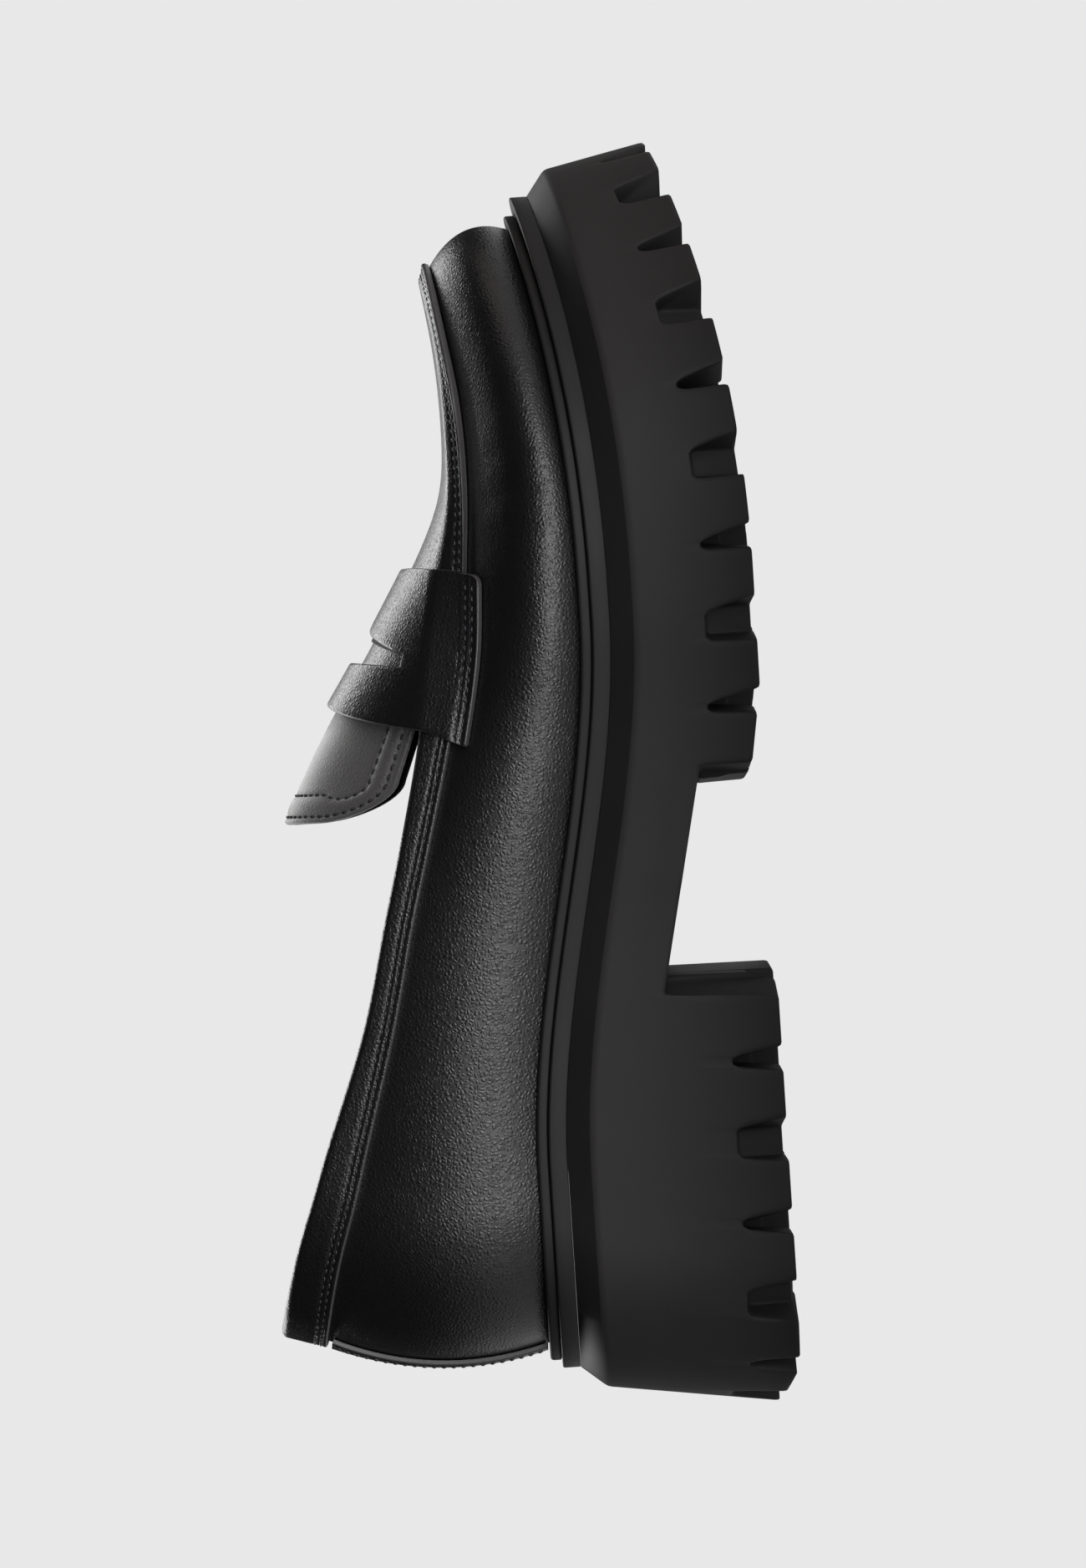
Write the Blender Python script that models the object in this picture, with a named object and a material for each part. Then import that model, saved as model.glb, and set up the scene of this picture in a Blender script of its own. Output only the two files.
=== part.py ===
"""Chunky lug sole penny loafer, right foot, size EU 38, standing on its sole.

Frame: metres, +X to the toe, +Y to the inner (medial) side, +Z up.
The origin is on the ground, under the middle of the sole.

Two functions carry the whole shoe. form(turn, across) is the surface of the upper over the
last, and rim(turn, side, level) is the sole's outline at a level. Every piece is cut from
them, so a piece that lies on another takes its place from the same sizes.
"""

from collections import namedtuple

import bpy
import numpy as np

# Sole, from the ground up
SOLE_LENGTH = 0.283
HEEL_SEAT_HEIGHT = 0.0543
BALL_SEAT_HEIGHT = 0.0377
TOE_SEAT_HEIGHT = 0.0478
BEAD_HEIGHT = 0.0026
BAND_HEIGHT = 0.0040
CHAMFER_HEIGHT = 0.0054
TOE_SPRING = 0.0163
TREAD_FLAT_FROM = 0.017
TREAD_FLAT_TO = 0.042
FOREFOOT_BACK = 0.0008
FOREFOOT_BACK_LIFT = 0.0026
HEEL_BREAST = -0.0495
HEEL_BEVEL_LENGTH = 0.0100
HEEL_BEVEL_HEIGHT = 0.0045
ARCH_FRONT_HEIGHT = 0.0138
ARCH_BACK_HEIGHT = 0.0246
BREAST_BULGE = 0.0060
LUG_BULGE_SHARE = 0.45
BLOCK_BULGE_SHARE = 0.70
MIDDLE_BULGE_SHARE = 0.30

# Lugs and notches of the tread
NOTCH_PITCH = 0.0177
NOTCH_DEPTH = 0.0108
FIRST_FORE_NOTCH = 0.0125
FIRST_HEEL_NOTCH = 0.0145
WIDE_NOTCH = 0.0062
NARROW_NOTCH = 0.0020
WIDE_MOUTH_FLARE = 0.0024
NARROW_MOUTH_FLARE = 0.0022
LUG_WIDTH = 0.0130
CHANNEL_WIDTH = 0.0050
CHANNEL_DEPTH = 0.0060
LUG_DRAFT = 0.0006
NOTCH_DRAFT = 0.0003

# Upper, from the seat up
BALL_WIDTH = 0.0882
BACK_HEIGHT = 0.0575
TOE_BOX_HEIGHT = 0.0180
INSTEP_RISE = 0.0494
INSTEP_SLOPE = 0.640
INSTEP_BLEND = 0.0035
HEEL_ROUND = 0.036
TOE_ROUND = 0.064
SEAM_TOE_ROUND = 0.042
HEEL_ROUND_POWER = 2.15
TOE_ROUND_POWER = 2.20
BELLY_SHARE = 0.38
HEEL_BELLY_OUT = 0.0027
HEEL_SEAM_IN = 0.0035
HEEL_EDGE_IN = 0.0063
TOE_BELLY_OUT = 0.0008
TOE_SEAM_IN = 0.0070
TOE_EDGE_IN = 0.0104
SPRING_FROM = 0.040
HEEL_RISE_FROM = 0.034
HEEL_RISE_TO = -0.085

# Leather and linings
GAP = 0.0003
UPPER_WALL = 0.0018
APRON_THICKNESS = 0.0013
BAND_THICKNESS = 0.0013
STRAP_THICKNESS = 0.0018
TONGUE_THICKNESS = 0.0032
HEEL_STRIP_THICKNESS = 0.0012
HEEL_STRIP_WIDTH = 0.0200
HEEL_STRIP_TOP = 0.012
HEEL_STRIP_FOOT = 0.985
INSOLE_THICKNESS = 0.0040
INSOLE_EDGE_IN = 0.0006
WELT_WIDTH = 0.0090

# Throat, strap and tongue
THROAT_X = 0.0220
APRON_END_X = 0.0235
BAND_END_X = 0.0210
STRAP_FRONT_X = 0.0471
STRAP_BACK_X = 0.0177
STRAP_FRONT_END_X = 0.0449
STRAP_BACK_END_X = 0.0078
STRAP_END_BELOW_SEAM = 0.0036
STRAP_STEP_DOWN = 0.0026
STRAP_CLEARANCE = 0.0005
STRAP_FRONT_ARCH = 0.0002
STRAP_BACK_ARCH = 0.0006
STRAP_FRONT_POWER = 4.0
STRAP_BACK_POWER = 1.5
SLOT_X = 0.0299
SLOT_SWEEP = 0.0029
SLOT_LENGTH = 0.0062
SLOT_END_LENGTH = 0.0024
SLOT_WIDTH = 0.0520
TONGUE_TIP_X = -0.0068
TONGUE_TIP_WIDTH = 0.0478
TONGUE_BASE_WIDTH = 0.0520
TONGUE_CORNER = 0.0085
TONGUE_TUCK = 0.0056
TUCK_SHARE = 0.14
TONGUE_DROOP = 0.0024

# How far each level of the sole stands out past the foot of the upper
Overhang = namedtuple("Overhang", "side toe heel")
FOOT = Overhang(side=0.0, toe=0.0, heel=0.0)
BEAD = Overhang(side=0.0016, toe=0.0029, heel=0.0040)
BAND = Overhang(side=0.0036, toe=0.0070, heel=0.0058)
SHOULDER = Overhang(side=0.0066, toe=0.0127, heel=0.0105)
TREAD = Overhang(side=0.0084, toe=0.0174, heel=0.0160)

# Sections of the last. at is a share of the length from the heel. axis and the half widths at
# the foot, belly, seam and edge are shares of the ball width. seam_up and edge_up are heights
# over the seat, as shares of the back height in QUARTER and of the toe box height in VAMP.
Section = namedtuple("Section", "at axis foot belly seam edge seam_up edge_up")
QUARTER = (
    Section(0.00, 0.010, 0.370, 0.385, 0.310, 0.290, 0.856, 1.008),
    Section(0.08, 0.010, 0.372, 0.390, 0.325, 0.305, 0.768, 0.912),
    Section(0.15, 0.010, 0.370, 0.390, 0.335, 0.320, 0.673, 0.808),
    Section(0.28, -0.005, 0.365, 0.388, 0.350, 0.338, 0.558, 0.657),
    Section(0.40, -0.020, 0.372, 0.398, 0.362, 0.350, 0.528, 0.620),
    Section(0.50, -0.024, 0.402, 0.428, 0.372, 0.356, 0.495, 0.594),
    Section(0.55, -0.019, 0.426, 0.448, 0.374, 0.355, 0.474, 0.580),
)
VAMP = (
    Section(0.63, -0.008, 0.475, 0.492, 0.370, 0.345, 1.375, 1.780),
    Section(0.71, -0.001, 0.498, 0.508, 0.360, 0.333, 1.285, 1.585),
    Section(0.78, 0.010, 0.488, 0.496, 0.344, 0.314, 1.180, 1.375),
    Section(0.85, 0.030, 0.462, 0.466, 0.324, 0.292, 1.112, 1.275),
    Section(0.93, 0.058, 0.425, 0.426, 0.302, 0.268, 1.100, 1.200),
    Section(1.00, 0.082, 0.395, 0.394, 0.285, 0.250, 1.075, 1.185),
)

# across runs from -1 at the outer featherline over the ridge at 0 to 1 at the inner one
SEAM = 0.50
EDGE = 0.40
CROWN_POWER = 2.3
FORE_CROWN = 0.0009

STATIONS = 28
SIDE_ROWS = 5
CAP_ROWS = 8
OUTLINE_POINTS = 2001

# Turns are told apart by the first, slopes taken over the second, and roots found by halving
STATION_CLEARANCE = 0.3
SLOPE_STEP = 1e-4
HALVINGS = 40
HEEL_TURNS = 0.2
SHARP_DEGREES = 35.0

UPPER_TOE = SOLE_LENGTH / 2 - TREAD.toe
UPPER_HEEL = -SOLE_LENGTH / 2 + TREAD.heel


def smooth_step(value):
    """0 below 0, 1 above 1, and an S curve between."""
    value = np.clip(value, 0.0, 1.0)
    return value * value * (3.0 - 2.0 * value)


def through(at, places, values):
    """A smooth curve through a table's rows: cubic pieces with slopes from both neighbours."""
    places, values = np.asarray(places), np.asarray(values)
    slopes = np.gradient(values, places)
    at = np.clip(at, places[0], places[-1])
    row = np.clip(np.searchsorted(places, at, side="right") - 1, 0, len(places) - 2)
    run = places[row + 1] - places[row]
    t = (at - places[row]) / run
    return (
        values[row] * (1 + 2 * t) * (1 - t) ** 2
        + slopes[row] * run * t * (1 - t) ** 2
        + values[row + 1] * t * t * (3 - 2 * t)
        + slopes[row + 1] * run * t * t * (t - 1)
    )


def column(name, scale_quarter, scale_vamp):
    """One column of the section tables, in metres."""
    return [getattr(row, name) * scale_quarter for row in QUARTER] + [
        getattr(row, name) * scale_vamp for row in VAMP
    ]


PLACES = [row.at for row in QUARTER + VAMP]
WIDTHS = {
    name: column(name, BALL_WIDTH, BALL_WIDTH) for name in ("axis", "foot", "belly", "seam", "edge")
}
RISES = {name: column(name, BACK_HEIGHT, TOE_BOX_HEIGHT) for name in ("seam_up", "edge_up")}


def share_at(turn):
    """The share of the length at a turn. Turns are closer together at the round ends."""
    return (1.0 - np.cos(np.pi * turn)) / 2.0


def roundness(turn, length, toe_round=TOE_ROUND):
    """How much of its half width a round-ended outline has: 0 at both tips, and odd past them."""
    share = share_at(turn)
    heel = np.clip(1.0 - share * length / HEEL_ROUND, 0.0, 1.0)
    toe = np.clip(1.0 - (1.0 - share) * length / toe_round, 0.0, 1.0)
    full = (1.0 - heel**HEEL_ROUND_POWER) ** (1.0 / HEEL_ROUND_POWER)
    full = full * (1.0 - toe**TOE_ROUND_POWER) ** (1.0 / TOE_ROUND_POWER)
    return full * np.where((turn < 0.0) | (turn > 1.0), -1.0, 1.0)


def seat_height(x):
    """The top of the sole along its length: high heel seat, low ball, toe spring."""
    rise = smooth_step((HEEL_RISE_FROM - x) / (HEEL_RISE_FROM - HEEL_RISE_TO))
    spring = np.clip((x - SPRING_FROM) / (UPPER_TOE - SPRING_FROM), 0.0, None) ** 2
    return (
        BALL_SEAT_HEIGHT
        + rise * (HEEL_SEAT_HEIGHT - BALL_SEAT_HEIGHT)
        + spring * (TOE_SEAT_HEIGHT - BALL_SEAT_HEIGHT)
    )


def ground_height(x):
    """The walking face: flat at ball and heel, sprung at the toe, bevelled at both backs."""
    half = SOLE_LENGTH / 2
    toe = TOE_SPRING * np.clip((x - TREAD_FLAT_TO) / (half - TREAD_FLAT_TO), 0.0, None) ** 2
    back = (TREAD_FLAT_FROM - x) / (TREAD_FLAT_FROM - FOREFOOT_BACK)
    back = FOREFOOT_BACK_LIFT * np.clip(back, 0.0, None)
    behind = np.clip((x + half - HEEL_BEVEL_LENGTH) / -HEEL_BEVEL_LENGTH, 0.0, None)
    heel = HEEL_BEVEL_HEIGHT * behind
    middle = (FOREFOOT_BACK + HEEL_BREAST) / 2
    return np.where(x > middle, toe + back, heel)


def arch_height(x):
    """The underside of the waist, between forefoot and heel."""
    share = (FOREFOOT_BACK - x) / (FOREFOOT_BACK - HEEL_BREAST)
    return ARCH_FRONT_HEIGHT + share * (ARCH_BACK_HEIGHT - ARCH_FRONT_HEIGHT)


def rim(turn, side, level):
    """Plan x and y of the sole's outline at a level. side is -1 outside and 1 inside."""
    share = share_at(turn)
    heel, toe = UPPER_HEEL - level.heel, UPPER_TOE + level.toe
    half = through(share, PLACES, WIDTHS["foot"]) + level.side
    axis = through(share, PLACES, WIDTHS["axis"])
    x = heel + share * (toe - heel)
    return x, axis + side * half * roundness(turn, toe - heel)


def inward(turn, side, level):
    """The plan direction from the outline towards the middle of the sole."""
    x0, y0 = rim(turn - SLOPE_STEP, side, level)
    x1, y1 = rim(turn + SLOPE_STEP, side, level)
    run = np.hypot(x1 - x0, y1 - y0)
    return side * (y1 - y0) / run, -side * (x1 - x0) / run


def three_level(up, foot, belly, seam):
    """The one parabola through a value at the foot, at the belly and at the seam."""
    b = BELLY_SHARE
    return (
        foot * (up - b) * (up - 1.0) / b
        + belly * up * (up - 1.0) / (b * (b - 1.0))
        + seam * up * (up - b) / (1.0 - b)
    )


def form(turn, across):
    """The upper's surface over the last, as points. Each side wall is a parabola from foot
    through belly to seam, a straight band from seam to edge, then a crowned cap to the ridge."""
    turn, across = np.broadcast_arrays(np.asarray(turn, float), np.asarray(across, float))
    share = share_at(turn)
    place = np.abs(across)
    side = np.where(across < 0.0, -1.0, 1.0)
    wall = np.clip((1.0 - place) / (1.0 - SEAM), 0.0, 1.0)
    band = np.clip((SEAM - place) / (SEAM - EDGE), 0.0, 1.0)
    cap = np.clip(place / EDGE, 0.0, 1.0)
    width = {name: through(share, PLACES, values) for name, values in WIDTHS.items()}
    rise = {name: through(share, PLACES, values) for name, values in RISES.items()}

    heel = three_level(wall, 0.0, -HEEL_BELLY_OUT, HEEL_SEAM_IN)
    heel = UPPER_HEEL + heel + band * (HEEL_EDGE_IN - HEEL_SEAM_IN)
    toe = three_level(wall, 0.0, -TOE_BELLY_OUT, TOE_SEAM_IN)
    toe = UPPER_TOE - toe - band * (TOE_EDGE_IN - TOE_SEAM_IN)
    x = heel + share * (toe - heel)

    half = three_level(wall, width["foot"], width["belly"], width["seam"])
    half = (half + band * (width["edge"] - width["seam"])) * cap
    full = roundness(turn, toe - heel, TOE_ROUND + wall * (SEAM_TOE_ROUND - TOE_ROUND))
    y = width["axis"] + side * half * full

    up = rise["seam_up"] * wall + band * (rise["edge_up"] - rise["seam_up"])
    crown = crown_height(x, seat_height(x) + rise["edge_up"])
    z = seat_height(x) + up + crown * full**2 * (1.0 - cap**CROWN_POWER)
    return np.stack([x, y, z], axis=-1)


def crown_height(x, edge):
    """How far the ridge stands over the cap's edge: little over the toes, and rising along the
    instep's straight slope from there back."""
    throat = seat_height(np.asarray(THROAT_X)) + INSTEP_RISE
    line = throat + INSTEP_SLOPE * (THROAT_X - x)
    return FORE_CROWN + INSTEP_BLEND * np.logaddexp(0.0, (line - edge) / INSTEP_BLEND)


def normals(surface, along, over):
    """Unit normals, pointing out, of a surface that runs along the shoe and over it."""
    forward = surface(along + SLOPE_STEP, over) - surface(along - SLOPE_STEP, over)
    sideways = surface(along, over + SLOPE_STEP) - surface(along, over - SLOPE_STEP)
    normal = np.cross(forward, sideways)
    return normal / np.linalg.norm(normal, axis=-1, keepdims=True)


def off_form(turn, across, distance):
    """Points at a distance outside the form. At the heel's and the toe's tip the whole cap is
    one point, which takes the normal of the cap's edge."""
    at_tip = ((turn <= 0.0) | (turn >= 1.0)) & (np.abs(across) < EDGE)
    facing = normals(form, turn, np.where(at_tip, np.where(across < 0.0, -EDGE, EDGE), across))
    return form(turn, across) + facing * np.broadcast_to(distance, np.shape(turn))[..., None]


def turn_of_x(x, across):
    """The turn at which the form reaches x, found by halving."""
    low, high = np.zeros_like(across), np.ones_like(across)
    for _ in range(HALVINGS):
        middle = (low + high) / 2
        before = form(middle, across)[..., 0] < x
        low, high = np.where(before, middle, low), np.where(before, high, middle)
    return (low + high) / 2


def turn_of_width(width, across):
    """The turn near the heel at which the form stands this far from its axis, by halving."""
    low, high = np.zeros_like(across), np.full_like(across, HEEL_TURNS)
    middle_line = form(low, across)[..., 1]
    for _ in range(HALVINGS):
        middle = (low + high) / 2
        before = np.abs(form(middle, across)[..., 1] - middle_line) < width
        low, high = np.where(before, middle, low), np.where(before, high, middle)
    return (low + high) / 2


def material(name, colour, roughness):
    """A plain finish for one kind of part."""
    finish = bpy.data.materials.new(name)
    finish.use_nodes = True
    shader = finish.node_tree.nodes["Principled BSDF"]
    shader.inputs["Base Color"].default_value = (*colour, 1.0)
    shader.inputs["Roughness"].default_value = roughness
    shader.inputs["Metallic"].default_value = 0.0
    return finish


def add_solid(name, points, faces, finish):
    """One named object from points and faces. Points that coincide become one."""
    used = np.unique([corner for face in faces for corner in face])
    points = points[used]
    _, first, index = np.unique(
        np.round(points, 7), axis=0, return_index=True, return_inverse=True
    )
    place = dict(zip(used.tolist(), index.reshape(-1).tolist()))
    kept = []
    for face in faces:
        corners = [place[corner] for corner in face]
        corners = [c for c, before in zip(corners, corners[-1:] + corners[:-1]) if c != before]
        if len(set(corners)) >= 3:
            kept.append(corners)
    mesh = bpy.data.meshes.new(name)
    mesh.from_pydata(points[first].tolist(), [], kept)
    mesh.validate()
    mesh.shade_smooth()
    mesh.set_sharp_from_angle(angle=np.radians(SHARP_DEGREES))
    mesh.materials.append(finish)
    solid = bpy.data.objects.new(name, mesh)
    bpy.context.scene.collection.objects.link(solid)
    return solid


def grid_faces(index, keep=None):
    """The triangles of a grid of point numbers, where keep is true. All grids split their
    quads along the same diagonal, so that two nested sheets have the same facets."""
    rows, columns = index.shape
    faces = []
    for i in range(rows - 1):
        for k in range(columns - 1):
            if keep is None or keep[i, k]:
                faces.append((index[i, k], index[i + 1, k], index[i + 1, k + 1]))
                faces.append((index[i, k], index[i + 1, k + 1], index[i, k + 1]))
    return faces


def add_sheet(name, outer, inner, finish, keep=None):
    """A leather piece: two grids of points with a wall between them, closed at every edge."""
    index = np.arange(outer.shape[0] * outer.shape[1]).reshape(outer.shape[:2])
    points = np.concatenate([outer.reshape(-1, 3), inner.reshape(-1, 3)])
    _, same = np.unique(np.round(points[: index.size], 7), axis=0, return_inverse=True)
    same = same.reshape(-1)
    top = grid_faces(index, keep)
    seen = {}
    for face in top:
        for start, end in zip(face, face[1:] + face[:1]):
            if same[start] != same[end]:
                seen.setdefault(frozenset((same[start], same[end])), []).append((start, end))
    faces = list(top)
    faces += [tuple(corner + index.size for corner in reversed(face)) for face in top]
    for uses in seen.values():
        if len(uses) == 1:
            start, end = uses[0]
            faces.append((end, start, start + index.size, end + index.size))
    return add_solid(name, points, faces, finish)


def add_loft(name, sections, finish):
    """A solid through closed sections of equally many points, pinched shut at both ends."""
    count, corners = sections.shape[:2]
    index = np.arange(count * corners).reshape(count, corners)
    index = np.concatenate([index, index[:, :1]], axis=1)
    return add_solid(name, sections.reshape(-1, 3), grid_faces(index[:, ::-1]), finish)


def across_rows():
    """Places across the upper: side wall rows, the band, and the cap rows, both sides."""
    wall = np.linspace(1.0, SEAM, SIDE_ROWS + 1)
    cap = EDGE * np.linspace(1.0, 0.0, CAP_ROWS // 2 + 1)
    half = np.concatenate([wall, cap])
    return np.concatenate([-half, half[-2::-1]])


def turn_on_ridge(x):
    """The turn at which the ridge reaches x."""
    return turn_of_x(x, np.zeros(1))[0]


def stations(back=0.0, front=1.0):
    """Turns from back to front. Every piece shares them, so that pieces nest facet on facet."""
    marks = np.array([turn_on_ridge(x) for x in (THROAT_X, APRON_END_X, BAND_END_X)])
    evenly = np.linspace(0.0, 1.0, STATIONS + 1)
    apart = np.abs(evenly[:, None] - marks[None, :]).min(axis=1) > STATION_CLEARANCE / STATIONS
    turns = np.sort(np.concatenate([evenly[apart], marks]))
    inside = turns[(turns > back + 1e-6) & (turns < front - 1e-6)]
    return np.concatenate([[back], inside, [front]])


def add_upper(finish):
    """The hollow upper: side walls all round, and the cap in front of the throat."""
    turn, across = np.meshgrid(stations(), across_rows(), indexing="ij")
    throat = turn_on_ridge(THROAT_X)
    middle = (np.abs(across[:-1, :-1]) <= EDGE + 1e-9) & (np.abs(across[:-1, 1:]) <= EDGE + 1e-9)
    keep = ~(middle & (turn[:-1, :-1] < throat - 1e-6))
    lift = np.where(np.abs(across) > 1.0 - 1e-9, GAP, 0.0)
    outer = form(turn, across)
    inner = off_form(turn, across, np.full(turn.shape, -UPPER_WALL))
    for shell in (outer, inner):
        foot = np.abs(across) > 1.0 - 1e-9
        shell[..., 2] = np.where(foot, seat_height(shell[..., 0]), shell[..., 2]) + lift
    return add_sheet("upper", outer, inner, finish, keep)


def add_apron(finish):
    """The raised apron over the toes, from its seam over the ridge to under the strap."""
    places = across_rows()
    places = places[np.abs(places) <= SEAM + 1e-9]
    turn, across = np.meshgrid(stations(back=turn_on_ridge(APRON_END_X)), places, indexing="ij")
    low = off_form(turn, across, GAP)
    high = off_form(turn, across, GAP + APRON_THICKNESS)
    return add_sheet("apron", high, low, finish)


def add_topline_band(finish):
    """The strip stitched round the collar, from strap to strap behind the heel."""
    rows = np.array([SEAM, EDGE])
    turns = stations(front=turn_on_ridge(BAND_END_X))[::-1]
    outside = np.stack(np.broadcast_arrays(turns[:, None], -rows[None, :]), axis=-1)
    inside = np.stack(np.broadcast_arrays(turns[::-1, None], rows[None, :]), axis=-1)
    both = np.concatenate([outside, inside[1:]])
    turn, across = both[..., 0], both[..., 1]
    low = off_form(turn, across, GAP)
    high = off_form(turn, across, GAP + BAND_THICKNESS)
    return add_sheet("topline_band", high[:, ::-1], low[:, ::-1], finish)


def add_heel_strip(finish):
    """The narrow strip up the back of the heel, from the welt to the topline band."""
    rows = np.linspace(SEAM + HEEL_STRIP_TOP, HEEL_STRIP_FOOT, 7)
    steps = np.linspace(-1.0, 1.0, 7)
    reach = HEEL_STRIP_WIDTH / 2
    step, row = np.meshgrid(steps, rows, indexing="ij")
    turn = turn_of_width(np.abs(step) * reach, row)
    across = np.where(step < 0.0, -row, row)
    low = off_form(turn, across, GAP)
    high = off_form(turn, across, GAP + HEEL_STRIP_THICKNESS)
    return add_sheet("heel_strip", high, low, finish)


def strap_edges(across, end):
    """x of the strap's front and back edge at each place across, slanting down its sides."""
    down = np.abs(across) / end
    front = STRAP_FRONT_X + down**STRAP_FRONT_POWER * (STRAP_FRONT_END_X - STRAP_FRONT_X)
    back = STRAP_BACK_X + down**STRAP_BACK_POWER * (STRAP_BACK_END_X - STRAP_BACK_X)
    return front, back


def slot_edges(across, slot_end):
    """x of the slot's back and front edge: a crescent, longest on the ridge, whose blunt ends
    sweep back with the square of the way out."""
    share = np.clip(np.abs(across) / slot_end, 0.0, 1.0) ** 2
    middle = SLOT_X - SLOT_SWEEP * share
    half = (SLOT_LENGTH - (SLOT_LENGTH - SLOT_END_LENGTH) * share) / 2
    return middle - half, middle + half


def add_saddle_strap(finish):
    """The strap over the instep with its crescent slot, lying on apron and topline band."""
    vamp = len(QUARTER)
    end = SEAM + (1.0 - SEAM) * STRAP_END_BELOW_SEAM / RISES["seam_up"][vamp]
    step = SEAM + (1.0 - SEAM) * STRAP_STEP_DOWN / RISES["seam_up"][vamp]
    slot_end = EDGE * SLOT_WIDTH / 2 / WIDTHS["edge"][vamp]
    apron_rows = across_rows()
    apron_rows = apron_rows[(apron_rows >= 0.0) & (apron_rows <= SEAM + 1e-9)]
    slot_rows = np.linspace(0.0, slot_end, 6)
    half = np.unique(np.round(np.concatenate([apron_rows, slot_rows, [step, end]]), 9))[::-1]
    across = np.concatenate([-half, half[-2::-1]])
    front, back = strap_edges(across, end)
    slot_back, slot_front = slot_edges(across, slot_end)
    steps = np.linspace(0.0, 1.0, 4)[:, None]
    rear = back + steps * (slot_back - back)
    fore = slot_front + steps * (front - slot_front)
    x = np.concatenate([rear, fore])
    across = np.broadcast_to(across, x.shape)
    turn = turn_of_x(x, across)
    lifted = np.clip((step - np.abs(across)) / (step - SEAM), 0.0, 1.0)
    forward = (x - STRAP_BACK_X) / (STRAP_FRONT_X - STRAP_BACK_X)
    arch = STRAP_BACK_ARCH + forward * (STRAP_FRONT_ARCH - STRAP_BACK_ARCH)
    under = GAP + lifted * (APRON_THICKNESS + STRAP_CLEARANCE)
    under = under + arch * np.clip(1.0 - (across / EDGE) ** 2, 0.0, None)
    low = off_form(turn, across, under)
    high = off_form(turn, across, under + STRAP_THICKNESS)
    keep = np.ones((x.shape[0] - 1, x.shape[1] - 1), bool)
    widest = np.maximum(np.abs(across[0, :-1]), np.abs(across[0, 1:]))
    keep[3] = widest > slot_end + 1e-9
    return add_sheet("saddle_strap", high, low, finish, keep)


def tongue_surface(along, over):
    """The tongue's top, in line with the apron's, with its free sides tucked down. along runs
    from 0 at the tip to 1 at the throat, and over from -1 at its outer side to 1."""
    half = (TONGUE_TIP_WIDTH + along * (TONGUE_BASE_WIDTH - TONGUE_TIP_WIDTH)) / 2
    past = np.clip((np.abs(over) - 1.0) * TONGUE_TIP_WIDTH / 2 + TONGUE_CORNER, 0.0, None)
    tip = TONGUE_TIP_X + TONGUE_CORNER - np.sqrt(np.clip(TONGUE_CORNER**2 - past**2, 0.0, None))
    x = tip + along * (THROAT_X - GAP - tip)
    across = EDGE * over * half / WIDTHS["edge"][len(QUARTER)]
    top = off_form(turn_of_x(x, across), across, GAP + APRON_THICKNESS)
    tuck = TONGUE_TUCK * over**4 * smooth_step((1.0 - along) / TUCK_SHARE)
    droop = TONGUE_DROOP * (1.0 - along) ** 2
    return top - np.stack([0 * x, 0 * x, tuck + droop], axis=-1)


def add_tongue(finish):
    """The free tongue: an arched sheet that carries on the apron's line, with round corners."""
    over = np.sin(np.linspace(-1.0, 1.0, 15) * np.pi / 2)
    along, over = np.meshgrid(np.linspace(0.0, 1.0, 7), over, indexing="ij")
    top = tongue_surface(along, over)
    under = top - TONGUE_THICKNESS * normals(tongue_surface, along, over)
    return add_sheet("tongue", top, under, finish)


def outline_point(turn, side, level, inset, z):
    """A point inset from the sole's outline at a level."""
    x, y = rim(turn, side, level)
    in_x, in_y = inward(turn, side, level)
    x, y, z = np.broadcast_arrays(x + in_x * inset, y + in_y * inset, z)
    return np.stack([x, y, z], axis=-1)


def seat_point(turn, side, level, inset, up):
    """A point inset from the outline at a level, a height over the seat's surface there."""
    point = outline_point(turn, side, level, inset, 0.0)
    point[..., 2] = seat_height(point[..., 0]) + up
    return point


def add_welt(finish):
    """The rubber welt round the upper's foot: a bead over a wider band."""
    turns = np.linspace(0.0, 1.0, STATIONS + 1)
    turn = np.concatenate([turns, turns[-2:0:-1]])
    side = np.where(np.arange(len(turn)) <= STATIONS, -1.0, 1.0)
    rows = (
        (FOOT, WELT_WIDTH, 0.0),
        (BEAD, 0.0, 0.0),
        (BEAD, 0.0, -BEAD_HEIGHT),
        (BAND, 0.0, -BEAD_HEIGHT),
        (BAND, 0.0, -BEAD_HEIGHT - BAND_HEIGHT),
        (FOOT, WELT_WIDTH, -BEAD_HEIGHT - BAND_HEIGHT),
    )
    ring = np.stack([seat_point(turn, side, *row) for row in rows], axis=1)
    index = np.arange(ring.shape[0] * ring.shape[1]).reshape(ring.shape[:2])
    index = np.concatenate([index, index[:, :1]], axis=1)
    index = np.concatenate([index, index[:1]])
    return add_solid("welt", ring.reshape(-1, 3), grid_faces(index[:, ::-1]), finish)


def add_insole(finish):
    """The footbed inside the upper, with a narrower step that fills the welt's ring."""
    turns = np.linspace(0.0, 1.0, STATIONS + 1)
    floor = -BEAD_HEIGHT - BAND_HEIGHT + GAP
    inner_edge = UPPER_WALL + GAP * 2
    rows = (
        (inner_edge + INSOLE_EDGE_IN, GAP + INSOLE_THICKNESS),
        (inner_edge, GAP + INSOLE_THICKNESS / 2),
        (inner_edge, GAP),
        (WELT_WIDTH + GAP, GAP),
        (WELT_WIDTH + GAP, floor),
    )
    outside = [seat_point(turns, -1.0, FOOT, *row) for row in rows]
    inside = [seat_point(turns, 1.0, FOOT, *row) for row in rows]
    sections = np.stack(outside + inside[::-1], axis=1)
    return add_loft("insole", sections, finish)


Column = namedtuple("Column", "top low kind block")
LUG, NOTCH, ARCH = "lug", "notch", "arch"


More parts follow.
